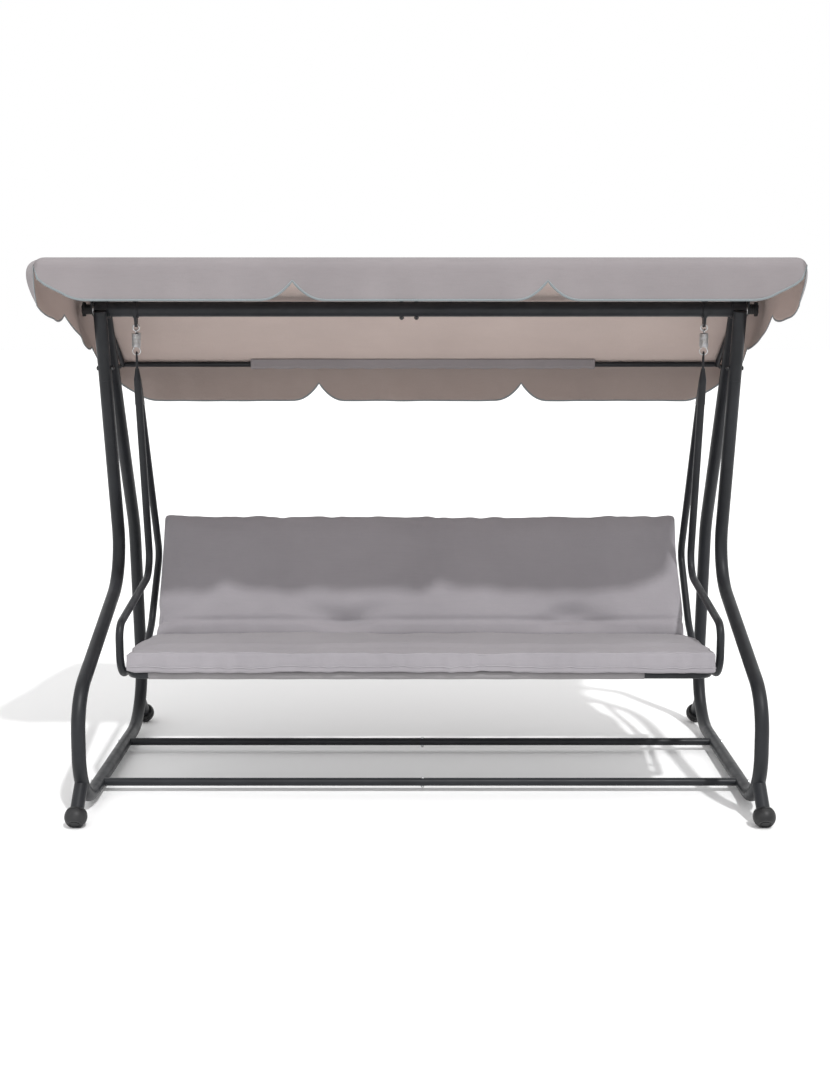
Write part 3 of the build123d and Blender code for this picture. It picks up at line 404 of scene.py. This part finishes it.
def smooth_by_angle(obj):
    """Smooth shading, with creases kept where faces meet at more than CREASE_ANGLE degrees."""
    made = bmesh.new()
    made.from_mesh(obj.data)
    limit = math.radians(CREASE_ANGLE)
    sharp = [edge.index for edge in made.edges if edge.calc_face_angle(0) > limit]
    made.free()
    obj.data.polygons.foreach_set("use_smooth", [True] * len(obj.data.polygons))
    for index in sharp:
        obj.data.edges[index].use_edge_sharp = True


# ---------------------------------------------------------------- mesh helpers
def new_object(name, points, faces, *materials):
    mesh = bpy.data.meshes.new(name)
    mesh.from_pydata([tuple(p) for p in points], [], faces)
    for material in materials:
        mesh.materials.append(material)
    mesh.polygons.foreach_set("use_smooth", [True] * len(mesh.polygons))
    mesh.update()
    made = bpy.data.objects.new(name, mesh)
    scene.collection.objects.link(made)
    return made


def grid_faces(rows, columns, start=0, wrap=False):
    """Quads between rows of points that are stored one row after another."""
    last = columns if wrap else columns - 1
    faces = []
    for i in range(rows - 1):
        for j in range(last):
            k = (j + 1) % columns
            a, b = start + i * columns + j, start + i * columns + k
            faces.append((a, b, b + columns, a + columns))
    return faces


def tube_mesh(name, path, radii, closed, material, sides=10, upward=None):
    """A tube along path, with an elliptic section: radii are across and along its upward direction."""
    count = len(path)
    points = []
    lengths = [0.0]
    for i in range(count):
        before = path[i - 1] if closed or i else path[0]
        after = path[(i + 1) % count] if closed or i < count - 1 else path[-1]
        tangent = (after - before).normalized()
        up = upward[i] if upward else Vector((0, 0, 1))
        if abs(tangent.dot(up)) > 0.95 and not upward:
            up = Vector((0, 1, 0))
        across = tangent.cross(up).normalized()
        up = across.cross(tangent)
        for j in range(sides):
            turn = 2 * math.pi * j / sides
            points.append(path[i] + across * radii[0] * math.cos(turn) + up * radii[1] * math.sin(turn))
        lengths.append(lengths[-1] + (after - path[i]).length)
    faces = grid_faces(count, sides, wrap=True)
    if closed:
        base = (count - 1) * sides
        faces += [(base + j, base + (j + 1) % sides, (j + 1) % sides, j) for j in range(sides)]
    else:
        faces += [tuple(range(sides))[::-1], tuple((count - 1) * sides + j for j in range(sides))]
    made = new_object(name, points, faces, material)
    layer = made.data.uv_layers.new(name="along")
    for loop in made.data.loops:
        row, around = divmod(loop.vertex_index, sides)
        layer.data[loop.index].uv = (lengths[row], around / sides)
    return made


def bake_modifiers(obj):
    """The object's modifiers become its mesh."""
    graph = bpy.context.evaluated_depsgraph_get()
    obj.data = bpy.data.meshes.new_from_object(obj.evaluated_get(graph))
    obj.modifiers.clear()


def hills(point, wavelength, seed):
    """Smooth noise from -1 to 1 with hills of about wavelength metres, on each axis its own."""
    return noise.noise(Vector((point[i] / wavelength[i] + seed for i in range(3))))


def clamp(value, low=0.0, high=1.0):
    return min(high, max(low, value))


def ease(value):
    value = clamp(value)
    return value * value * (3 - 2 * value)


# ---------------------------------------------------------------- canopy
ARCH_FRONT = centre("canopy_front_bar")
ARCH_REAR = centre("canopy_rear_bar")
BEAM = centre("beam_left")
ARCH_CROWN_Z = BEAM.z + 0.053
BAR_RADIUS = 0.0095
ROOF_LIFT = BAR_RADIUS + 0.0024
ROOF_HALF_X = 1.095
ROOF_HALF_Y = 0.530
EDGE_RADIUS = 0.032
ROOF_SAG = 0.020
CUSP_X = 0.374
CUSP_Y = 0.180
FRONT_DROP = 0.146
REAR_DROP = 0.168
SIDE_DROP = 0.188
CORNER_DROP = 0.045
FRONT_CUSP_DROP = 0.090
REAR_CUSP_DROP = 0.103
SIDE_CUSP_DROP = 0.150
CLOTH_THICK = 0.0011
SKIRT_ROWS = 18
FLARE_LEFT = 0.073
FLARE_RIGHT = 0.052
FLARE_MIDDLE = 0.030
FLARE_CORNER = 0.024
BELLY_SPAN = 0.235
BELLY_FRONT = 0.006
BELLY_REAR = 0.003
BROAD_WAVE = 0.0070
NARROW_WAVE = 0.0042
HEM_GATHER = 0.0028
SIDE_WAVE = 0.005
SIDE_RIPPLE = 0.0015
STATION_STEP = 0.019
TAPE_RISE = 0.0030
TAPE_RADII = (0.0016, 0.0036)


def circle_through(a, b, c):
    """Centre and radius of the circle through three (y, z) points."""
    (ay, az), (by, bz), (cy, cz) = a, b, c
    cross = 2 * (ay * (bz - cz) + by * (cz - az) + cy * (az - bz))
    aa, bb, cc = ay * ay + az * az, by * by + bz * bz, cy * cy + cz * cz
    middle_y = (aa * (bz - cz) + bb * (cz - az) + cc * (az - bz)) / cross
    middle_z = (aa * (cy - by) + bb * (ay - cy) + cc * (by - ay)) / cross
    return middle_y, middle_z, math.hypot(ay - middle_y, az - middle_z)


ARCH_Y, ARCH_Z, ARCH_RADIUS = circle_through(
    (ARCH_FRONT.y, ARCH_FRONT.z), (0.0, ARCH_CROWN_Z), (ARCH_REAR.y, ARCH_REAR.z)
)


def arch_height(y, lift=0.0):
    return ARCH_Z + math.sqrt((ARCH_RADIUS + lift) ** 2 - (y - ARCH_Y) ** 2)


def roof_height(x, y):
    """The roof cloth follows the side bars' arch, and sags and ripples a little between them."""
    inside = clamp(1 - (x / ROOF_HALF_X) ** 2) * clamp(1 - (y / ROOF_HALF_Y) ** 2)
    ripple = 0.0022 * hills((x, y, 0), (0.30, 0.11, 1), 4.2)
    ripple += 0.0014 * hills((x, y, 0), (0.07, 0.22, 1), 9.1)
    near_edge = 1 - max(abs(x) / ROOF_HALF_X, abs(y) / ROOF_HALF_Y)
    return arch_height(y, ROOF_LIFT) - ROOF_SAG * inside ** 0.7 + ripple * ease(near_edge / 0.08)


def stations(half, cusp, share):
    """Places along an edge, closer together near the cusps and the corners."""
    marks = (-half, -cusp, cusp, half)
    places = [-half]
    for low, high in zip(marks, marks[1:]):
        count = max(6, round((high - low) / share))
        for i in range(1, count + 1):
            even = i / count
            packed = 0.5 - 0.5 * math.cos(math.pi * even)
            places.append(low + (high - low) * (0.45 * even + 0.55 * packed))
    return places


def scallop(place, half, cusp, drops):
    """How far the hem hangs below the roof's edge: drops are the hem's, the cusps' and the corners'."""
    hem, point, corner = drops
    to_cusp = min(abs(place - cusp), abs(place + cusp))
    to_corner = half - abs(place)
    cusp_width = 0.095 if half > 1 else 0.120
    corner_width = 0.12 if half > 1 else 0.14
    rise = (hem - point) * clamp(1 - to_cusp / cusp_width) ** 2.1
    rise_corner = (hem - corner) * (1 - math.sqrt(1 - clamp(1 - to_corner / corner_width) ** 2))
    return hem - max(rise, rise_corner)


def belly(depth, span):
    """Sideways bulge of a skirt at a depth below its top edge: out at once, and back in at the hem."""
    return math.sin(math.pi * clamp(depth / span) ** 0.55)


def side_flare(x, y):
    """How far a side skirt stands out: most near the front, and least at the corners."""
    flare_end = FLARE_LEFT if x < 0 else FLARE_RIGHT
    flare = FLARE_MIDDLE + (flare_end - FLARE_MIDDLE) * ease((-y - 0.05) / 0.42)
    return FLARE_CORNER + (flare - FLARE_CORNER) * ease((ROOF_HALF_Y - abs(y)) / 0.07)


def skirt_point(x, y, depth):
    """A point of the skirt, at a depth along the cloth from the roof's edge at (x, y)."""
    on_side = abs(abs(x) - ROOF_HALF_X) < 1e-6
    on_end = abs(abs(y) - ROOF_HALF_Y) < 1e-6
    side_share = 1.0 if on_side else 1 - ease((ROOF_HALF_X - abs(x)) / 0.05)
    end_share = 1.0 if on_end else 1 - ease((ROOF_HALF_Y - abs(y)) / 0.05)
    turn = min(depth / EDGE_RADIUS, math.pi / 2)
    round_out = EDGE_RADIUS * math.sin(turn)
    fall = EDGE_RADIUS * (1 - math.cos(turn)) + max(0.0, depth - EDGE_RADIUS * math.pi / 2)
    out_x = (0.4 * round_out + side_flare(x, y) * belly(depth, BELLY_SPAN)) * side_share
    out_y = (round_out + (BELLY_FRONT if y < 0 else BELLY_REAR) * belly(depth, 0.25)) * end_share
    low = clamp(depth / 0.145) ** 1.8
    hem = clamp((depth - 0.095) / 0.05)
    wave = BROAD_WAVE * math.sin(x * 19 + 2.4 * math.sin(x * 4.3))
    wave += NARROW_WAVE * math.sin(x * 43 + 1.3)
    gather = HEM_GATHER * hem * hills((x, 0, 0), (0.024, 1, 1), 6.6)
    wave_side = SIDE_WAVE * math.sin(y * 19 + 1.0 + x) + SIDE_RIPPLE * math.sin(y * 40 + 0.4)
    slack = 1.3 if y > 0 else 1.0
    out_x += low * side_share * (0.0 if on_end else wave_side)
    out_y += end_share * (0.0 if on_side else low * wave * slack + gather)
    sign_x = 1 if x > 0 else -1
    sign_y = 1 if y > 0 else -1
    return Vector((x + sign_x * out_x, y + sign_y * out_y, roof_height(x, y) - fall))


def edge_loop(xs, ys):
    """Roof edge stations round the four sides, each once, with the hem's drop there."""
    front = (FRONT_DROP, FRONT_CUSP_DROP, CORNER_DROP)
    rear = (REAR_DROP, REAR_CUSP_DROP, CORNER_DROP)
    side = (SIDE_DROP, SIDE_CUSP_DROP, CORNER_DROP)
    loop = []
    loop += [(x, ys[0], scallop(x, ROOF_HALF_X, CUSP_X, front)) for x in xs[:-1]]
    loop += [(xs[-1], y, scallop(y, ROOF_HALF_Y, CUSP_Y, side)) for y in ys[:-1]]
    loop += [(x, ys[-1], scallop(x, ROOF_HALF_X, CUSP_X, rear)) for x in xs[:0:-1]]
    loop += [(xs[0], y, scallop(y, ROOF_HALF_Y, CUSP_Y, side)) for y in ys[:0:-1]]
    return loop


def make_canopy():
    xs = stations(ROOF_HALF_X, CUSP_X, STATION_STEP)
    ys = stations(ROOF_HALF_Y, CUSP_Y, STATION_STEP)
    points = [Vector((x, y, roof_height(x, y))) for y in ys for x in xs]
    faces = grid_faces(len(ys), len(xs))
    index = {(x, y): j * len(xs) + i for j, y in enumerate(ys) for i, x in enumerate(xs)}
    loop = edge_loop(xs, ys)
    above = [index[(x, y)] for x, y, _ in loop]
    for row in range(1, SKIRT_ROWS + 1):
        share = (row / SKIRT_ROWS) ** 1.25
        start = len(points)
        points += [skirt_point(x, y, drop * share) for x, y, drop in loop]
        below = list(range(start, start + len(loop)))
        for i in range(len(loop)):
            k = (i + 1) % len(loop)
            faces.append((above[k], above[i], below[i], below[k]))
        above = below
    canopy = new_object("canopy_cloth", points, faces, CANOPY_TOP, CANOPY_UNDERSIDE_GLOW)
    shell = canopy.modifiers.new("thickness", "SOLIDIFY")
    shell.thickness = CLOTH_THICK
    shell.offset = -1
    # The inner side of the cloth takes the underside material with its painted light.
    shell.material_offset = 1
    shell.material_offset_rim = 0
    hem = [points[i] for i in above]
    upward = [(points[i - len(loop)] - points[i]).normalized() for i in above]
    inset = [point + up * TAPE_RISE for point, up in zip(hem, upward)]
    tape = tube_mesh("canopy_edge_tape", inset, TAPE_RADII, True, EDGE_TAPE, sides=12, upward=upward)
    for piece in (canopy, tape):
        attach(piece, "canopy")
    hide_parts("canopy_roof", "valance_front", "valance_rear", "valance_left", "valance_right")


def make_bar_sleeve():
    """Pocket of cloth that hangs from the roof round the rear bar, with a sewn flange above it."""
    low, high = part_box("rear_bar_sleeve")
    y, z = ARCH_REAR.y, ARCH_REAR.z
    radius = BAR_RADIUS + 0.0022
    columns = 90
    turns = 18
    points = []
    for i in range(columns + 1):
        x = low.x + (high.x - low.x) * i / columns
        slack = 0.0012 * math.sin(x * 60) + 0.0009 * math.sin(x * 131 + 1)
        section = []
        for step in range(4):
            rise = 0.020 * (1 - step / 4)
            section.append((y - radius - 0.003 - 0.004 * rise / 0.02, z + rise))
        for step in range(turns + 1):
            angle = math.pi + math.pi * step / turns
            swell = radius + 0.002 + slack * math.sin(math.pi * step / turns)
            section.append((y + swell * math.cos(angle), z + swell * math.sin(angle) * 1.1))
        section.append((y + radius + 0.002, z + 0.003))
        for sy, sz in section:
            top = roof_height(x, sy) - 0.0025
            points.append((x, sy, min(sz, top)))
    rows = len(points) // (columns + 1)
    sleeve = new_object("rear_bar_pocket", points, grid_faces(columns + 1, rows), CANOPY_TOP)
    shell = sleeve.modifiers.new("thickness", "SOLIDIFY")
    shell.thickness = 0.0009
    shell.offset = 1
    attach(sleeve, "canopy")
    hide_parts("rear_bar_sleeve")


# ---------------------------------------------------------------- cushions
SEAT_SLOPE = 0.127
SEAT_RUN = Vector((0, 1, -SEAT_SLOPE)).normalized()
BACK_RUN = Vector((0, 0.5314, 0.8471)).normalized()
ACROSS = Vector((1, 0, 0))
VOXEL = 0.009
START_INSETS = np.array((-0.005, -0.005, 0.004))
SWELL_CAP = 0.008
WELT_RADIUS = 0.0022
SEAM_INSET = 0.006
SEAM_REACH = 0.030
SEAT_FRONT_Y = -0.430
FRONT_DROOP = 0.010
REST_GAP = 0.0010
PRESSURE = 4
SWELL_FRAMES = 20


class Pad:
    """A box cushion's own axes: across, run (front to back, or up), and face (out of its top)."""

    def __init__(self, node, run):
        self.axes = (ACROSS, run, ACROSS.cross(run).normalized())
        corners = np.array([v.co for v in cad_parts[node].data.vertices], float)
        local = corners @ np.array(self.axes).T
        self.low, self.high = local.min(0), local.max(0)

    def to_world(self, local):
        return self.axes[0] * local[0] + self.axes[1] * local[1] + self.axes[2] * local[2]

    def to_local(self, point):
        return [axis.dot(point) for axis in self.axes]

    def share(self, local):
        """Place inside the box, from -1 to 1 on each axis."""
        return [2 * (local[i] - self.low[i]) / (self.high[i] - self.low[i]) - 1 for i in range(3)]


def pad_block(name, pad):
    """The start shape of a cushion: its box, a little smaller, as an even skin of small quads."""
    low, high = pad.low + START_INSETS, pad.high - START_INSETS
    corners = [(x, y, z) for z in (low[2], high[2]) for y in (low[1], high[1]) for x in (low[0], high[0])]
    faces = [(0, 2, 3, 1), (4, 5, 7, 6), (0, 1, 5, 4), (2, 6, 7, 3), (0, 4, 6, 2), (1, 3, 7, 5)]
    block = new_object(name, corners, faces, CUSHION_CLOTH)
    skin = block.modifiers.new("skin", "REMESH")
    skin.mode = "VOXEL"
    skin.voxel_size = VOXEL
    skin.use_smooth_shade = True
    bake_modifiers(block)
    for vertex in block.data.vertices:
        vertex.co = pad.to_world(vertex.co)
    block.data.update()
    return block


def coordinates_of(mesh):
    flat = np.zeros(len(mesh.vertices) * 3)
    mesh.vertices.foreach_get("co", flat)
    return flat.reshape(-1, 3)


def inflate(obj):
    """Cloth simulation: the cover is blown up from inside, and no point goes further than the cap."""
    rest = coordinates_of(obj.data)
    cloth = obj.modifiers.new("cloth", "CLOTH")
    settings = cloth.settings
    settings.quality = 4
    settings.mass = 0.3
    settings.tension_stiffness = 18
    settings.compression_stiffness = 18
    settings.shear_stiffness = 8
    settings.bending_stiffness = 0.6
    settings.use_pressure = True
    settings.uniform_pressure_force = PRESSURE
    settings.effector_weights.gravity = 0
    cloth.point_cache.frame_start = 1
    cloth.point_cache.frame_end = SWELL_FRAMES
    for number in range(1, SWELL_FRAMES + 1):
        scene.frame_set(number)
    graph = bpy.context.evaluated_depsgraph_get()
    moved = coordinates_of(obj.evaluated_get(graph).data)
    obj.modifiers.clear()
    scene.frame_set(1)
    shift = moved - rest
    far = np.linalg.norm(shift, axis=1, keepdims=True)
    shift *= np.minimum(1, SWELL_CAP / np.maximum(far, 1e-9))
    obj.data.vertices.foreach_set("co", (rest + shift).ravel())
    obj.data.update()


def wrinkle(obj, pad, shape):
    """Moves each point along its normal by shape(share, local), from its place in the pad."""
    obj.data.update()
    normals = [v.normal.copy() for v in obj.data.vertices]
    for vertex, normal in zip(obj.data.vertices, normals):
        local = pad.to_local(vertex.co)
        vertex.co += normal * shape(pad.share(local), local)
    obj.data.update()


def puckers(share, local, seed):
    """Short creases that run off the seams into the panels, and broad soft hollows."""
    to_seam = min(1 - abs(share[1]), 1.4 * (1 - abs(share[0])))
    near = math.exp(-max(0.0, to_seam) / 0.16)
    fine = hills(local, (0.040, 0.16, 0.20), seed) * 0.0042 * near
    middle = hills(local, (0.13, 0.22, 0.30), seed + 3.7) * 0.0046
    broad = hills(local, (0.42, 0.24, 0.30), seed + 7.9) * 0.0050
    return fine + middle + broad


def seat_shape(share, local):
    """The seat's top is crowned, and its front edge is gathered by its seam."""
    on_top = clamp(share[2])
    crown = 0.006 * on_top * (1 - share[0] ** 4) * (1 - share[1] ** 2)
    on_front = clamp(-share[1] - 0.80) / 0.2
    gather = 0.0030 * on_front * hills(local, (0.028, 0.3, 0.05), 2.4)
    return crown + gather + puckers(share, local, 1.3)


def droop(obj, pad):
    """The seat cushion's front hangs a little over the front tube."""
    line = pad.axes[1].dot(Vector((0, SEAT_FRONT_Y, 0)))
    for vertex in obj.data.vertices:
        ahead = line - pad.axes[1].dot(vertex.co) + 0.03
        vertex.co.z -= FRONT_DROOP * ease(ahead / 0.06)
    obj.data.update()


def back_shape(share, local):
    """The back's lower part is pushed into folds where it meets the seat."""
    on_face = clamp(share[2])
    crown = 0.004 * on_face * (1 - share[0] ** 4) * (1 - share[1] ** 2)
    low = math.exp(-((share[1] + 0.70) / 0.19) ** 2) * on_face
    slanted = local[0] + 0.9 * local[1]
    crossed = local[0] - 1.1 * local[1]
    folds = -0.0210 * max(0.0, math.sin(slanted * 7.3 + 0.6)) ** 5
    folds += -0.0170 * max(0.0, math.sin(crossed * 9.1 + 2.0)) ** 5
    folds -= 0.0060 * math.exp(-((share[1] + 0.74) / 0.05) ** 2)
    return crown + low * folds + puckers(share, local, 5.1)


def seam_path(pad, face, cover, surface):
    """A cushion's seam round one of its big faces, laid on the swollen cover's rounded edge."""
    local = coordinates_of(cover.data) @ np.array(pad.axes).T
    low, high = local.min(0), local.max(0)
    level = pad.high[2] - SEAM_INSET if face > 0 else pad.low[2] + SEAM_INSET
    middle = (pad.low + pad.high) / 2
    corners = [(low[0], low[1]), (high[0], low[1]), (high[0], high[1]), (low[0], high[1])]
    path = []
    for (ax, ay), (bx, by) in zip(corners, corners[1:] + corners[:1]):
        steps = max(8, round(math.hypot(bx - ax, by - ay) / 0.012))
        for i in range(steps):
            outer = (ax + (bx - ax) * i / steps, ay + (by - ay) * i / steps, level)
            inner = (
                clamp(outer[0], low[0] + SEAM_REACH, high[0] - SEAM_REACH),
                clamp(outer[1], low[1] + SEAM_REACH, high[1] - SEAM_REACH),
                middle[2],
            )
            away = (pad.to_world(outer) - pad.to_world(inner)).normalized()
            hit = surface.ray_cast(pad.to_world(inner) + away * 0.3, -away)
            path.append((hit[0] if hit[0] else pad.to_world(outer)) + away * 0.0004)
    return path


def rest_on_sling(obj, pad):
    """The face on the sling is pressed flat: no point goes below the plane that the cushion rests on."""
    away = pad.axes[2]
    for vertex in obj.data.vertices:
        below = pad.low[2] + REST_GAP - away.dot(vertex.co)
        if below > 0:
            vertex.co += away * below
    obj.data.update()


def make_cushion(name, node, body, run, shape):
    pad = Pad(node, run)
    cushion = pad_block(name, pad)
    inflate(cushion)
    smooth = cushion.modifiers.new("smooth", "SUBSURF")
    smooth.levels = 1
    smooth.render_levels = 1
    bake_modifiers(cushion)
    wrinkle(cushion, pad, shape)
    rest_on_sling(cushion, pad)
    if name.startswith("seat"):
        droop(cushion, pad)
    graph = bpy.context.evaluated_depsgraph_get()
    surface = BVHTree.FromObject(cushion, graph)
    for face, word in ((1, "front"), (-1, "rear")):
        path = seam_path(pad, face, cushion, surface)
        welt = tube_mesh(f"{name}_{word}_seam", path, (WELT_RADIUS, WELT_RADIUS), True, SEAM_CORD_PAINTED_HIGHLIGHT, sides=8)
        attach(welt, body)
    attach(cushion, body)
    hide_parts(node)


# ---------------------------------------------------------------- slings
SLING_GAP = 0.0012
SLING_THICK = 0.0012
SLING_BOW = 0.004
SLING_COLUMNS = 80
SEAT_TUBE_RADIUS = 0.0125
SEAT_TUBE_Z = 0.440
BACK_TUBE_RADIUS = 0.011
BARE_TUBE_FROM = 0.692
RECLINE_PIVOT = Vector((0.105, 0.386))
BACK_LOW_RUN = 0.018
BACK_HIGH_RUN = 0.455


def sling_section(first, first_radius, last, last_radius, bow):
    """Points of a sling's side view, in (y, z): round the first tube, across, and round the last one."""
    way = (last - first).normalized()
    out = Vector((-way.y, way.x))
    r1, r2 = first_radius + SLING_GAP, last_radius + SLING_GAP
    half_turn = [math.pi * step / 10 for step in range(11)]
    points = [first - way * (r1 * math.sin(a)) - out * (r1 * math.cos(a)) for a in half_turn]
    for step in range(1, 24):
        t = step / 24
        lift = r1 + (r2 - r1) * t - bow * math.sin(math.pi * t)
        points.append(first + (last - first) * t + out * lift)
    points += [last + way * (r2 * math.sin(a)) + out * (r2 * math.cos(a)) for a in half_turn]
    return points


def make_sling(name, node, body, first, last, radii, bare_from=None):
    low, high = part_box(node)
    section = sling_section(first, radii[0], last, radii[1], bow=SLING_BOW)
    columns = SLING_COLUMNS
    points = []
    for i in range(columns + 1):
        x = low.x + (high.x - low.x) * i / columns
        for y, z in section:
            pull = 0.0008 * math.sin(x * 37 + y * 11)
            points.append((x, y, z + pull * 0.5))
    faces = grid_faces(columns + 1, len(section))
    if bare_from is not None:
        kept = []
        for face in faces:
            middle_x = sum(points[i][0] for i in face) / 4
            middle_y = sum(points[i][1] for i in face) / 4
            if middle_x < bare_from or middle_y > first.x + 0.030:
                kept.append(face)
        faces = kept
    sling = new_object(name, points, faces, SLING_CLOTH)
    shell = sling.modifiers.new("thickness", "SOLIDIFY")
    shell.thickness = SLING_THICK
    shell.offset = 0
    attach(sling, body)
    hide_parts(node)


def make_slings():
    seat_low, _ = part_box("seat_frame")
    rear_tube = centre("seat_rear_tube")
    front = Vector((seat_low.y + SEAT_TUBE_RADIUS, SEAT_TUBE_Z))
    radii = (SEAT_TUBE_RADIUS, BACK_TUBE_RADIUS)
    make_sling("seat_sling_cloth", "seat_sling", "seat", front, rear_tube.yz, radii, BARE_TUBE_FROM)
    run = BACK_RUN.yz
    low, high = RECLINE_PIVOT + run * BACK_LOW_RUN, RECLINE_PIVOT + run * BACK_HIGH_RUN
    radii = (BACK_TUBE_RADIUS, BACK_TUBE_RADIUS)
    make_sling("back_sling_cloth", "back_sling", "backrest", low, high, radii)


# ---------------------------------------------------------------- springs
COIL_RADIUS = 0.013
WIRE = 0.0021
COIL_TOP = 1.487
COIL_LOW = 1.443
COIL_TURNS = 10


def make_springs():
    """Close-wound extension springs: body, a loop above and a loop below, on one wire."""
    for side, _ in SIDES:
        node = f"spring_{side}"
        low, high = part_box(node)
        x = (low.x + high.x) / 2
        path = []
        for i in range(15):
            turn = math.pi * (1.5 - 1.75 * i / 14)
            radius = (high.z - COIL_TOP) / 2 - WIRE / 2
            path.append(Vector((x, radius * math.cos(turn), COIL_TOP + radius + radius * math.sin(turn))))
        per_turn = 28
        for i in range(COIL_TURNS * per_turn + 1):
            turn = 2 * math.pi * i / per_turn
            z = COIL_TOP - (COIL_TOP - COIL_LOW) * i / (COIL_TURNS * per_turn)
            path.append(Vector((x + COIL_RADIUS * math.cos(turn), COIL_RADIUS * math.sin(turn), z)))
        loop_radius = (COIL_LOW - low.z) / 2 + 0.0005
        for i in range(1, 20):
            turn = math.pi * 0.5 - 2 * math.pi * 0.92 * i / 19
            drop = loop_radius * (1 - math.sin(turn))
            path.append(Vector((x + loop_radius * math.cos(turn), 0, COIL_LOW - drop)))
        zinc = FINISHES["zinc_plate"]
        spring = tube_mesh(f"coil_spring_{side}", path, (WIRE, WIRE), False, zinc, sides=10)
        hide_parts(node)
        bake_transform(spring)


# ---------------------------------------------------------------- the whole scene
add_camera()
add_studio()
finish_cad_nodes()
make_canopy()
make_bar_sleeve()
make_cushion("seat_cushion_cover", "seat_cushion", "seat", SEAT_RUN, seat_shape)
make_cushion("back_cushion_cover", "back_cushion", "backrest", BACK_RUN, back_shape)
make_slings()
make_springs()
